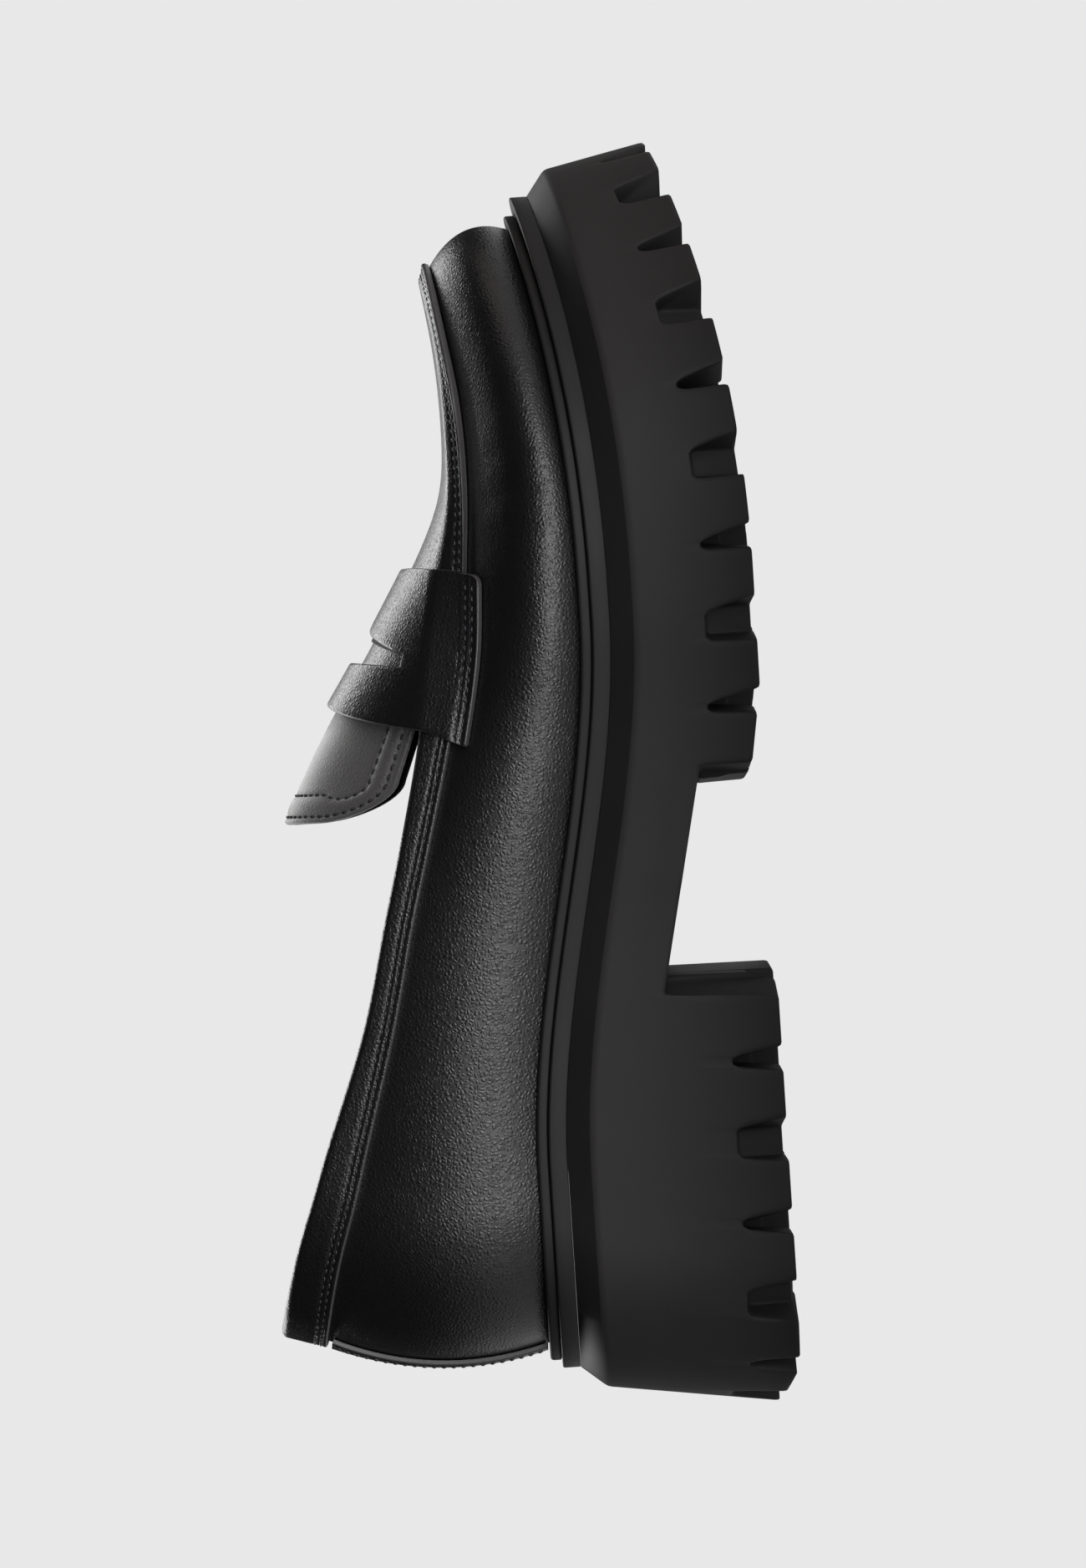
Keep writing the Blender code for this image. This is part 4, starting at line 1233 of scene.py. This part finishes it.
        # The dark underside reaches a little past the slot's front edge into the slot: painted
        # shade for the slit under the lobe
        shade_reach_x = x - self.slot_shade_reach * self.over_slot(across) * (np.abs(x - slot_front) < TINY)
        under, _ = self.sheet(shade_reach_x, across, np.zeros_like(x))
        keep = np.ones((x.shape[0] - 1, x.shape[1] - 1), bool)
        widest = np.maximum(np.abs(across[0, :-1]), np.abs(across[0, 1:]))
        keep[len(shares) - 1] = widest > self.slot_end + TINY
        body = Body.shell(top, under, keep, np.clip(depth, 0.0, None))
        # The slot's walls take the dark lining instead of the edge finish: painted shade in the
        # slot
        middles = body.points[body.faces].mean(axis=1)
        beside = (np.abs(middles[:, 1]) < self.slot_width / 2) & (body.finishes == 2)
        beside &= np.abs(middles[:, 0] - self.slot_x) < self.slot_length * 1.5
        body.finishes[beside] = 1
        self.leather(body, "saddle_band", "saddle_strap")
        return [self.seam(side, row) for side in (-1.0, 1.0) for row in self.rows_in]

    def seam(self, side: float, depth: float) -> Body:
        """One stitch row across a sewn end, from 2 mm inside one edge to 2 mm inside the other."""
        across = np.full(90, side * (self.end - depth / self.per_across))
        front, back = self.edges(across)
        x = np.linspace(back[0] + 2 * MM, front[0] - 2 * MM, len(across))
        face = self.face(np.array(depth)) - self.groove
        path, normals = self.sheet(x, across, np.full_like(x, face))
        return Stitch().row(path, normals)


@dataclass
class Tongue(Part):
    """The free tongue: leather over felt, with a puffed margin between two stitch rows."""

    gap: float = GAP
    apron_thickness: float = PLY
    thickness: float = 0.0032
    tip_x: float = -0.0068
    tip_width: float = 0.0478
    base_width: float = 0.0520
    corner: float = 0.0085
    tuck: float = 0.0056
    droop: float = 0.0024
    rows_in: tuple[float, float] = (1.4 * MM, 6.0 * MM)
    margin: float = 7.6 * MM
    stitch: Stitch = Stitch(2.3 * MM, 1.75 * MM, 0.33 * MM)
    side_share: float = 0.70
    side_pull: float = 0.30
    groove: float = 0.34 * MM
    groove_width: float = 0.42 * MM
    puff: float = 0.42 * MM
    puff_at: float = 3.7 * MM
    puff_width: float = 1.7 * MM
    edge_round: float = 0.55 * MM
    tuck_run: float = 0.14
    middle_from: float = 0.018

    def __post_init__(self) -> None:
        """Measures the tongue along the ridge, from its tip to the throat."""
        self.length = self.last.throat_x - self.gap - self.tip_x

    def half_width(self, along: np.ndarray) -> np.ndarray:
        """Half the tongue's width, by the share of its length from the tip."""
        return (self.tip_width + along * (self.base_width - self.tip_width)) / 2

    def surface(self, along: np.ndarray, over: np.ndarray) -> np.ndarray:
        """The tongue's top in line with the apron's, its free sides tucked down by a fourth
        power. along runs 0 at the tip to 1 at the throat, over -1 at the outer side to 1."""
        last = self.last
        x = self.tip_x + along * self.length
        across = last.edge * over * self.half_width(along) / last.vamp_edge
        top = last.off(last.turn_of_x(x, across), across, self.gap + self.apron_thickness)
        fall = self.tuck * over**4 * smooth_step((1.0 - along) / self.tuck_run)
        fall = fall + self.droop * (1.0 - along) ** 2
        return top - np.stack([0 * x, 0 * x, fall], axis=-1)

    def outline(self) -> np.ndarray:
        """The tongue's edge laid flat, from its outer throat corner round the tip to the inner
        one: metres along from the tip, and metres over from the middle."""
        tip, base, corner = self.tip_width / 2, self.base_width / 2, self.corner
        lean = (base - tip) / self.length
        sides = np.linspace(self.length, corner, 40)
        angle = np.linspace(0.0, np.pi / 2, 16)[1:]
        along = np.concatenate([sides, corner * (1 - np.sin(angle)), np.zeros(14)])
        over = np.concatenate(
            [
                tip + lean * sides,
                tip + lean * corner - corner * (1 - np.cos(angle)),
                np.linspace(tip + lean * corner - corner, 0.0, 15)[1:],
            ]
        )
        return np.stack([both_sides(along, 1.0), both_sides(over)], axis=-1)

    def flat_rows(self, insets: np.ndarray, shares: np.ndarray) -> np.ndarray:
        """Flat points: first at insets square to the edge, then on the straight way from there
        to the middle line.

        Args:
            insets: metres in from the edge, one for each row.
            shares: how far on towards the middle line, one for each row.

        Returns:
            rows x outline points x 2.
        """
        edge = self.outline()
        run = np.gradient(edge, axis=0)
        run /= np.linalg.norm(run, axis=-1, keepdims=True)
        inward = np.stack([-run[:, 1], run[:, 0]], axis=-1)
        outward = (inward * (np.array([[0.02, 0.0]]) - edge)).sum(-1, keepdims=True) < 0
        inward = np.where(outward, -inward, inward)
        # The rows run closer to the long sides than to the tip
        narrow = self.side_share * insets
        narrow = narrow - self.side_pull * np.clip(insets - self.rows_in[0], 0.0, None)
        sideways = np.abs(inward[:, 1])
        steps = insets[:, None] + (narrow - insets)[:, None] * sideways
        start = edge + inward * steps[..., None]
        middle = np.stack([np.maximum(edge[:, 0], self.middle_from), 0 * edge[:, 0]], axis=-1)
        return start + (middle - start) * shares[:, None, None]

    def raised(self, flat: np.ndarray, depth: np.ndarray) -> Pair:
        """Flat points put on the tongue's surface, a depth under its face, and the normals."""
        along = np.clip(flat[..., 0] / self.length, 0.0, 1.0)
        over = flat[..., 1] / self.half_width(along)
        normal = self.last.normals(self.surface, along, over)
        return self.surface(along, over) - normal * depth[..., None], normal

    def build(self) -> list[Body]:
        """The tongue: one closed profile, from the middle of its face out over the leather's
        lip, down the felt's edge and back under, carried round the outline. Its own two rows are
        sewn with cord, so it leaves none to the thread."""
        near = np.array([7.6, 6.8, 6.35, 6.0, 5.65, 5.1, 4.4, 3.6, 2.9, 2.3, 1.8, 1.4, 1.15, 0.8])
        near = np.concatenate([near, [0.5, 0.25, 0.08]]) * MM
        relief = sum(self.groove * hump(near, row, self.groove_width) for row in self.rows_in)
        relief = relief - self.puff * hump(near, self.puff_at, self.puff_width)
        relief = relief + rounded(near, self.edge_round)
        lip = np.array([(0.0, 0.75), (0.04, 1.0), (0.25, 1.2), (0.55, 1.28)]) * MM
        felt = [(0.75, 1.35), (0.6, 1.5), (0.5, 1.9), (0.55, 2.5), (0.8, 3.0), (1.4, 3.2)]
        felt = np.array(felt) * MM
        shares = np.linspace(1.0, 0.0, 9)[:-1]
        under = np.linspace(0.0, 1.0, 6)
        over_margin, under_margin = np.full(len(shares), self.margin), np.full(6, self.margin)
        insets = np.concatenate([over_margin, near, lip[:, 0], felt[:, 0], under_margin])
        onward = np.concatenate([shares, np.zeros(len(near) + len(lip) + len(felt)), under])
        bottom = np.full(len(under), self.thickness)
        depth = np.concatenate([0.0 * shares, relief, lip[:, 1], felt[:, 1], bottom])
        flat = self.flat_rows(insets, onward)
        grid, _ = self.raised(flat, np.broadcast_to(depth[:, None], flat.shape[:2]))
        leather_rows = len(shares) + len(near) + len(lip) - 1
        kind = np.where(np.arange(len(grid) - 1) < leather_rows, 0, 1)
        # The leather's lip takes the edge finish, painted paler as a highlight along it
        kind[leather_rows - 3 : leather_rows] = 2
        wardrobe = self.wardrobe
        # The tongue's face takes the calf painted paler: painted light on its top
        finishes = [wardrobe.pale_painted_calf, wardrobe.felt, wardrobe.cut_edge_and_highlight]
        body = Body.tube(grid, (False, False), kind)
        body.piece("tongue_sandwich", finishes, Slot.LEATHER, ("tongue",))
        seams = []
        for row in self.rows_in:
            line = self.flat_rows(np.array([row]), np.zeros(1))[0]
            seams.append(self.stitch.row(*self.raised(line, np.full(len(line), self.groove / 2))))
        Body.joined(seams).piece("tongue_stitching", [wardrobe.cord], Slot.LEATHER, sharp=80.0)
        return []


@dataclass
class Welt(Part):
    """The moulded welt: a rounded bead against the upper's foot, over a wider flat band."""

    width: float = WELT_WIDTH
    height: float = WELT_HEIGHT
    bead: float = 0.0026
    corner: float = 0.25 * MM
    stations: int = 200

    def build(self) -> list[Body]:
        """Each ring of the welt is its profile set square to the outline, corners rounded."""
        low = -self.height
        there = np.linspace(0.0, 1.0, self.stations + 1)
        turn = np.concatenate([there, there[-2:0:-1]])
        side = np.where(np.arange(len(turn)) <= self.stations, -1.0, 1.0)
        rows = (
            (FOOT, self.width, 0.0),
            (FOOT, 0.0010, 0.0),
            (FOOT, 0.0, -0.00025),
            (FOOT, -0.0004, -0.00025),
            (BEAD, 0.0004, 0.0),
            (BEAD, 0.0, -0.0005),
            (BEAD, 0.0, -self.bead + 0.0002),
            (BEAD, 0.0005, -self.bead + 0.0001),
            (BEAD, 0.0005, -self.bead - 0.0003),
            (BEAD, -0.0003, -self.bead - 0.0003),
            (BEAD, -0.0005, -self.bead),
            (BAND, 0.0003, -self.bead),
            (BAND, 0.0, -self.bead - 0.0003),
            (BAND, 0.0, low),
            (FOOT, self.width, low),
        )
        ring = np.stack(
            [self.last.rim_point(turn, side, level, inset, up) for level, inset, up in rows]
        )
        ring = round_corners(ring, self.corner, np.ones(len(ring), bool))
        body = Body.tube(ring, (True, True))
        body.piece("welt_ring", [self.wardrobe.welt], Slot.WELT, ("welt",), 60.0)
        return []


@dataclass
class Footbed(Part):
    """The cupped footbed inside the upper, covered with lining, over the sole's filler."""

    gap: float = GAP
    wall: float = WALL
    thickness: float = 0.0040
    welt_width: float = WELT_WIDTH
    welt_height: float = WELT_HEIGHT

    def build(self) -> list[Body]:
        """Rings from the middle out over the cover, round its edge, and under to the middle."""
        there = np.linspace(0.0, 1.0, 121)
        edge = self.wall + 2 * self.gap
        top = self.gap + self.thickness
        rows = (
            (0.022, top - 0.0008),
            (0.016, top - 0.0007),
            (0.010, top - 0.0005),
            (edge + 0.0050, top - 0.0002),
            (edge + 0.0022, top),
            (edge + 0.0008, top - 0.0002),
            (edge, top - 0.0012),
            (edge, self.gap),
            (self.welt_width + self.gap, self.gap),
            (self.welt_width + self.gap, self.gap - self.welt_height),
            (0.022, self.gap - self.welt_height),
        )
        outer, inner = (
            np.stack([self.last.rim_point(there, side, FOOT, inset, up) for inset, up in rows])
            for side in (-1.0, 1.0)
        )
        # Near the tips the insets would cross the middle, so both sides stop on the axis there
        axis = (outer[..., 1] + inner[..., 1]) / 2
        outer[..., 1] = np.minimum(outer[..., 1], axis)
        inner[..., 1] = np.maximum(inner[..., 1], axis)
        grid = np.concatenate([outer, inner[::-1]])
        body = Body.tube(grid, (True, False))
        body.piece("footbed", [self.wardrobe.lining], Slot.LINING, ("insole",))
        return []


class Column(NamedTuple):
    """A section of the sole's side: its arc length at the top and at the ground, what it stands
    over, whether the tread's block reaches the ground, and how far a notch's corner drops."""

    top: float
    low: float
    kind: Ground
    block: bool
    drop: float = 0.0


@dataclass
class Sole(Part):
    """The moulded sole: chamfer, flared wall, waist, and notched tread of heel and forefoot."""

    gap: float = 0.00002
    welt_height: float = WELT_HEIGHT
    chamfer: float = 0.0057
    toe_spring: float = 0.0163
    flat_from: float = 0.017
    flat_to: float = 0.042
    fore_back: float = 0.0008
    fore_back_lift: float = 0.0026
    breast: float = -0.0495
    bevel_length: float = 0.0100
    bevel_height: float = 0.0045
    arch_front: float = 0.0138
    arch_back: float = 0.0246
    bulge: float = 0.0060
    notch_pitch: float = 0.0177
    notch_depth: float = 0.0108
    first_fore: float = 0.0125
    first_heel: float = 0.0145
    wide: float = 0.0062
    narrow: float = 0.0020
    wide_flare: float = 0.0024
    narrow_flare: float = 0.0022
    lug_width: float = 0.0130
    channel_width: float = 0.0050
    channel_depth: float = 0.0060
    block_step: float = 0.0012
    web_inset: float = 0.0072
    web_lift: float = 0.0008
    lug_draft: float = 0.0006
    notch_draft: float = 0.0003
    edge_round: float = 0.0009
    fill_step: float = 0.0026

    def ground(self, x: np.ndarray) -> np.ndarray:
        """The walking face: flat at ball and heel, sprung with a square at the toe, and
        bevelled in straight lines at the back of the forefoot and of the heel."""
        half = self.last.sole_length / 2
        toe = self.toe_spring * np.clip((x - self.flat_to) / (half - self.flat_to), 0, None) ** 2
        back = (self.flat_from - x) / (self.flat_from - self.fore_back)
        back = self.fore_back_lift * np.clip(back, 0.0, None)
        behind = np.clip((x + half - self.bevel_length) / -self.bevel_length, 0.0, None)
        middle = (self.fore_back + self.breast) / 2
        return np.where(x > middle, toe + back, self.bevel_height * behind)

    def waist(self, x: np.ndarray) -> np.ndarray:
        """The underside of the waist, a straight slope between forefoot and heel."""
        share = (self.fore_back - x) / (self.fore_back - self.breast)
        return self.arch_front + share * (self.arch_back - self.arch_front)

    def notch(self, middle: float, wide: bool) -> list[Column]:
        """The columns of one notch: lug edge, the notch floor with rounded corners, lug edge."""
        half = (self.wide if wide else self.narrow) / 2
        flare = self.wide_flare if wide else self.narrow_flare
        corner = 0.0008 if wide else half
        rear, fore = middle - half - self.notch_draft, middle + half + self.notch_draft
        spots = np.linspace(-half, half, 9 if wide else 7)
        into = np.clip(half - np.abs(spots), 0.0, corner)
        drops = corner - np.sqrt(corner**2 - (corner - into) ** 2)
        floor = [
            Column(middle + spot, middle + spot, Ground.NOTCH, not wide, drop)
            for spot, drop in zip(spots, drops)
        ]
        rear_edge = Column(rear, rear - self.notch_draft, Ground.LUG, True, corner)
        return [rear_edge, *floor, Column(fore, fore + flare, Ground.LUG, True, corner)]

    def columns(self) -> tuple[list[Column], np.ndarray, np.ndarray]:
        """All columns from heel to toe by arc length along the outer tread outline.

        Returns:
            The columns, and the arc lengths and turns to change one into the other with.
        """
        turns = np.linspace(0.0, 1.0, 4001)
        x, y = self.last.rim(turns, -1.0, TREAD)
        arc = np.concatenate([[0.0], np.cumsum(np.hypot(np.diff(x), np.diff(y)))])
        breast, back = np.interp(self.breast, x, arc), np.interp(self.fore_back, x, arc)
        end, pitch = arc[-1], self.notch_pitch
        keys = [Column(0.0, 0.0, Ground.LUG, True)]
        middles = np.arange(breast - self.first_heel, pitch / 3, -pitch)
        for number in range(len(middles) - 1, -1, -1):
            keys += self.notch(float(middles[number]), number % 2 == 1)
        keys.append(Column(breast, breast, Ground.LUG, True))
        for at in (breast + self.notch_draft, back - self.notch_draft):
            keys.append(Column(at, at, Ground.WAIST, False))
        keys.append(Column(back, back, Ground.LUG, True))
        for number, middle in enumerate(np.arange(back + self.first_fore, end - pitch / 3, pitch)):
            keys += self.notch(float(middle), number % 2 == 1)
        keys.append(Column(end, end, Ground.LUG, True))
        filled = [keys[0]]
        for before, after in zip(keys[:-1], keys[1:]):
            if before.kind == after.kind != Ground.NOTCH:
                count = int(np.ceil((after.top - before.top) / self.fill_step))
                ends = (before.top, after.top), (before.low, after.low), (before.drop, after.drop)
                for share in np.linspace(0.0, 1.0, count + 1)[1:-1]:
                    top, low, drop = (start + share * (stop - start) for start, stop in ends)
                    filled.append(Column(top, low, before.kind, before.block, drop))
            filled.append(after)
        return filled, arc, turns

    def half(self, table: dict[str, np.ndarray], side: float) -> np.ndarray:
        """One side of every section: chamfer, wall, then in along lug, channel and block. A
        wide notch stops at a web between lugs.

        Args:
            table: the columns' turns, kinds, blocks, drops and bulges as arrays.
            side: -1 for the outer side, 1 for the inner.

        Returns:
            rows x columns x 3, from the welt down and in.
        """
        top, low = table["top"], table["low"]
        last, kind = self.last, table["kind"]
        lug, notch, open_waist = (kind == ground.value for ground in Ground)
        under_welt = -self.welt_height - self.gap
        seat = last.rim_point(top, side, BAND, 0.0, under_welt)
        shoulder = last.rim_point(top, side, SHOULDER, 0.0, under_welt - self.chamfer)
        x_tread = last.rim(low, side, TREAD)[0]
        ground, waist = self.ground(x_tread), self.waist(x_tread)
        beside = open_waist | (table["shift"] != 0.0)
        ceiling = np.where(beside, waist, ground + self.notch_depth - table["drop"])
        height = np.where(lug, ground, ceiling)
        channel = np.where(open_waist, waist, ground + self.channel_depth)
        block = np.where(table["block"], ground, ground + self.block_step)
        block = np.where(open_waist, waist, block)
        share = ((shoulder[:, 2] - ceiling) / (shoulder[:, 2] - ground))[:, None]

        def on_tread(turn: np.ndarray, inset: np.ndarray, z: np.ndarray) -> np.ndarray:
            """A point in from the tread's outline at its own height."""
            point = last.rim_point(turn, side, TREAD, inset, 0.0)
            point[..., 2] = z
            return point

        wall = shoulder * (1.0 - share) + on_tread(top, 0.0, ground) * share
        web = notch & ~table["block"]
        outer_inset = np.where(lug, 0.0, np.where(web, self.web_inset, self.lug_width / 2))
        foot = np.where(web, ground + self.web_lift, height)
        middle = self.lug_width + self.lug_draft + self.channel_width
        bottom = on_tread(low, outer_inset, height)
        rows = [seat, shoulder]
        rows += [shoulder + (wall - shoulder) * s for s in (0.33, 0.66)]
        rows += [wall + (bottom - wall) * s for s in (0.0, 0.2, 0.5, 0.8, 1.0)]
        rows.append(on_tread(low, outer_inset + self.lug_draft, foot))
        inner = [
            on_tread(low, self.lug_width, foot),
            on_tread(top, self.lug_width + self.lug_draft, channel),
            on_tread(top, middle, channel),
            on_tread(top, middle + self.lug_draft, block),
        ]
        for number, point in enumerate(inner):
            point[:, 0] += table["shift"] * (0.45 if number == 0 else 0.7)
        return np.stack(rows + inner)

    def build(self) -> list[Body]:
        """The sole: both sides and the middle of every section, with corners rounded across the
        sections and, at the notches, along them. The chamfer takes the welt's rubber, a little
        smoother and darker: painted shade on that up-facing band."""
        columns, arc, turns = self.columns()
        kind = np.array([column.kind.value for column in columns])
        shift = np.zeros(len(kind))
        for number, (here, after) in enumerate(zip(kind[:-1], kind[1:])):
            if {here, after} == {Ground.LUG.value, Ground.WAIST.value}:
                sign = 1.0 if here == Ground.LUG.value else -1.0
                shift[number] = shift[number + 1] = sign * self.bulge
        table = {
            "top": np.interp([column.top for column in columns], arc, turns),
            "low": np.interp([column.low for column in columns], arc, turns),
            "kind": kind,
            "block": np.array([column.block for column in columns]),
            "drop": np.array([column.drop for column in columns]),
            "shift": shift,
        }
        outside, inside = self.half(table, -1.0), self.half(table, 1.0)
        middle = (outside[-1:] + inside[-1:]) / 2
        middle[..., 0] += shift * 0.3
        grid = np.concatenate([outside, middle, inside[::-1]])
        corner_rows = np.zeros(len(grid), bool)
        corners = [1, 4, 8, 9, 10, 11, 12, 13]
        corner_rows[corners + [len(grid) - 1 - row for row in corners]] = True
        grid = round_corners(grid, self.edge_round, corner_rows)
        turned = kind[:-1] != kind[1:]
        corner_columns = np.zeros(len(kind), bool)
        corner_columns[:-1] |= turned
        corner_columns[1:] |= turned
        grid = round_corners(grid.transpose(1, 0, 2), self.edge_round, corner_columns)
        grid = grid.transpose(1, 0, 2)
        # The chamfer rows take the welt's darker rubber, painted shade on the up-facing chamfer
        chamfer_shade_rows = np.zeros(len(grid), int)
        chamfer_shade_rows[[0, -2]] = 1
        finishes = [self.wardrobe.rubber, self.wardrobe.welt]
        body = Body.tube(grid, (True, False), chamfer_shade_rows)
        body.piece("lug_unit", finishes, Slot.SOLE, ("lug_sole",), 50.0)
        return []


@dataclass(frozen=True)
class SoftBox:
    """One rectangular soft light: where it hangs, how wide and high, its watts and colour."""

    name: str
    place: tuple[float, float, float]
    size: tuple[float, float]
    power: float
    colour: str = "#ffffff"


# A box lower than this lies on the floor and shines straight up
LYING = 0.01
BOXES = (
    SoftBox("front_strip", (0.30, -1.70, 0.03), (1.2, 0.05), 5.2),
    SoftBox("table_panel", (0.16, -0.40, 0.001), (0.56, 0.32), 6.0),
    SoftBox("heel_panel", (-0.26, -0.40, 0.001), (0.28, 0.32), 0.6),
    SoftBox("back_box", (0.0, 1.3, 1.1), (2.4, 0.6), 25.0),
    SoftBox("top_box", (0.0, 0.7, 1.5), (2.0, 0.6), 1.2),
    SoftBox("toe_box", (1.6, -0.2, 0.30), (1.2, 0.8), 2.2, "#fff2ea"),
)


@dataclass
class Studio:
    """Pale floor, soft lights, and the camera at the photograph's angle."""

    floor_size: float = 12.0
    floor_height: float = -5e-5
    pale: str = "#e8e8e8"
    room: float = 0.02
    glow: float = 0.30
    aim: tuple[float, float, float] = (0.0, 0.0, 0.06)
    camera_at: tuple[float, float, float] = (-0.0009, -1.1, 0.0477)
    camera_right: tuple[float, float, float] = (-0.0649, 0.0, -0.9979)
    camera_up: tuple[float, float, float] = (0.9979, 0.0, -0.0649)
    lens: float = 112.87

    def build_floor(self) -> None:
        """A flat pale floor, a little under the sole so that the two don't share a plane. The
        camera sees it lit from within, as even as the room behind it."""
        material, tree, shader = new_material("back_lit_acrylic_floor")
        pale = linear(self.pale)
        sockets = {
            "Base Color": pale,
            "Roughness": 0.9,
            "Specular IOR Level": 0.1,
            "Emission Color": pale,
            "Emission Strength": self.glow,
        }
        feed(tree, shader, sockets)
        glow = add_node(tree, "NodeEmission", {"Color": pale})
        camera_sees(tree, shader, glow, "Material Output")
        half = self.floor_size / 2
        mesh = bpy.data.meshes.new("floor")
        plan = ((-half, -half), (half, -half), (half, half), (-half, half))
        mesh.from_pydata([(x, y, self.floor_height) for x, y in plan], [], [(0, 1, 2, 3)])
        mesh.materials.append(material)
        floor = bpy.data.objects.new("floor", mesh)
        bpy.context.scene.collection.objects.link(floor)

    def build_lights(self) -> None:
        """Soft boxes out of the camera's sight, each aimed at the middle of the shoe."""
        for box in BOXES:
            data = bpy.data.lights.new(box.name, "AREA")
            data.shape = "RECTANGLE"
            data.size, data.size_y = box.size
            data.energy = box.power
            data.color = linear(box.colour)[:3]
            lamp = bpy.data.objects.new(box.name, data)
            lamp.location = box.place
            away = Vector(self.aim) - Vector(box.place)
            if box.place[2] < LYING:
                away = Vector((0.0, 0.0, 1.0))
            lamp.rotation_euler = away.to_track_quat("-Z", "Y").to_euler()
            lamp.visible_camera = False
            bpy.context.scene.collection.objects.link(lamp)

    def build_world(self) -> None:
        """Pale behind the shoe for the camera, and a dim even room for the light. The view is
        plain sRGB, so that the blacks stay as deep as in the photograph."""
        bpy.context.scene.view_settings.view_transform = "Standard"
        world = bpy.data.worlds.new("studio")
        bpy.context.scene.world = world
        world.use_nodes = True
        tree = world.node_tree
        room = tree.nodes["Background"]
        feed(tree, room, {"Color": linear("#ffffff"), "Strength": self.room})
        behind = add_node(tree, "NodeBackground", {"Color": linear(self.pale)})
        camera_sees(tree, room, behind, "World Output")

    def build_camera(self) -> None:
        """The camera looks level along +Y, rolled so that the toe points up in the picture."""
        data = bpy.data.cameras.new("photo_camera")
        data.lens, data.sensor_width = self.lens, 36.0
        data.clip_start = 0.01
        camera = bpy.data.objects.new("photo_camera", data)
        bpy.context.scene.collection.objects.link(camera)
        right, up = Vector(self.camera_right), Vector(self.camera_up)
        turned = Matrix((right, up, right.cross(up))).transposed().to_4x4()
        turned.translation = Vector(self.camera_at)
        camera.matrix_world = turned
        bpy.context.scene.camera = camera

    def build(self) -> None:
        """Builds the whole studio."""
        self.build_floor()
        self.build_lights()
        self.build_world()
        self.build_camera()
        log.info("studio: floor, %d soft boxes, room and camera", len(BOXES))


def main() -> None:
    logging.basicConfig(level=logging.INFO, format="%(name)s %(message)s", stream=sys.stdout)
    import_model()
    last, wardrobe = Last(), Wardrobe()
    Studio().build()
    parts = (Sole, Welt, Footbed, Upper, HeelStrip, Apron, Topline, Strap, Tongue)
    seams = [row for part in parts for row in part(last, wardrobe).build()]
    Body.joined(seams).piece("stitching", [wardrobe.thread], Slot.LEATHER, sharp=80.0)


if __name__ == "__main__":
    main()
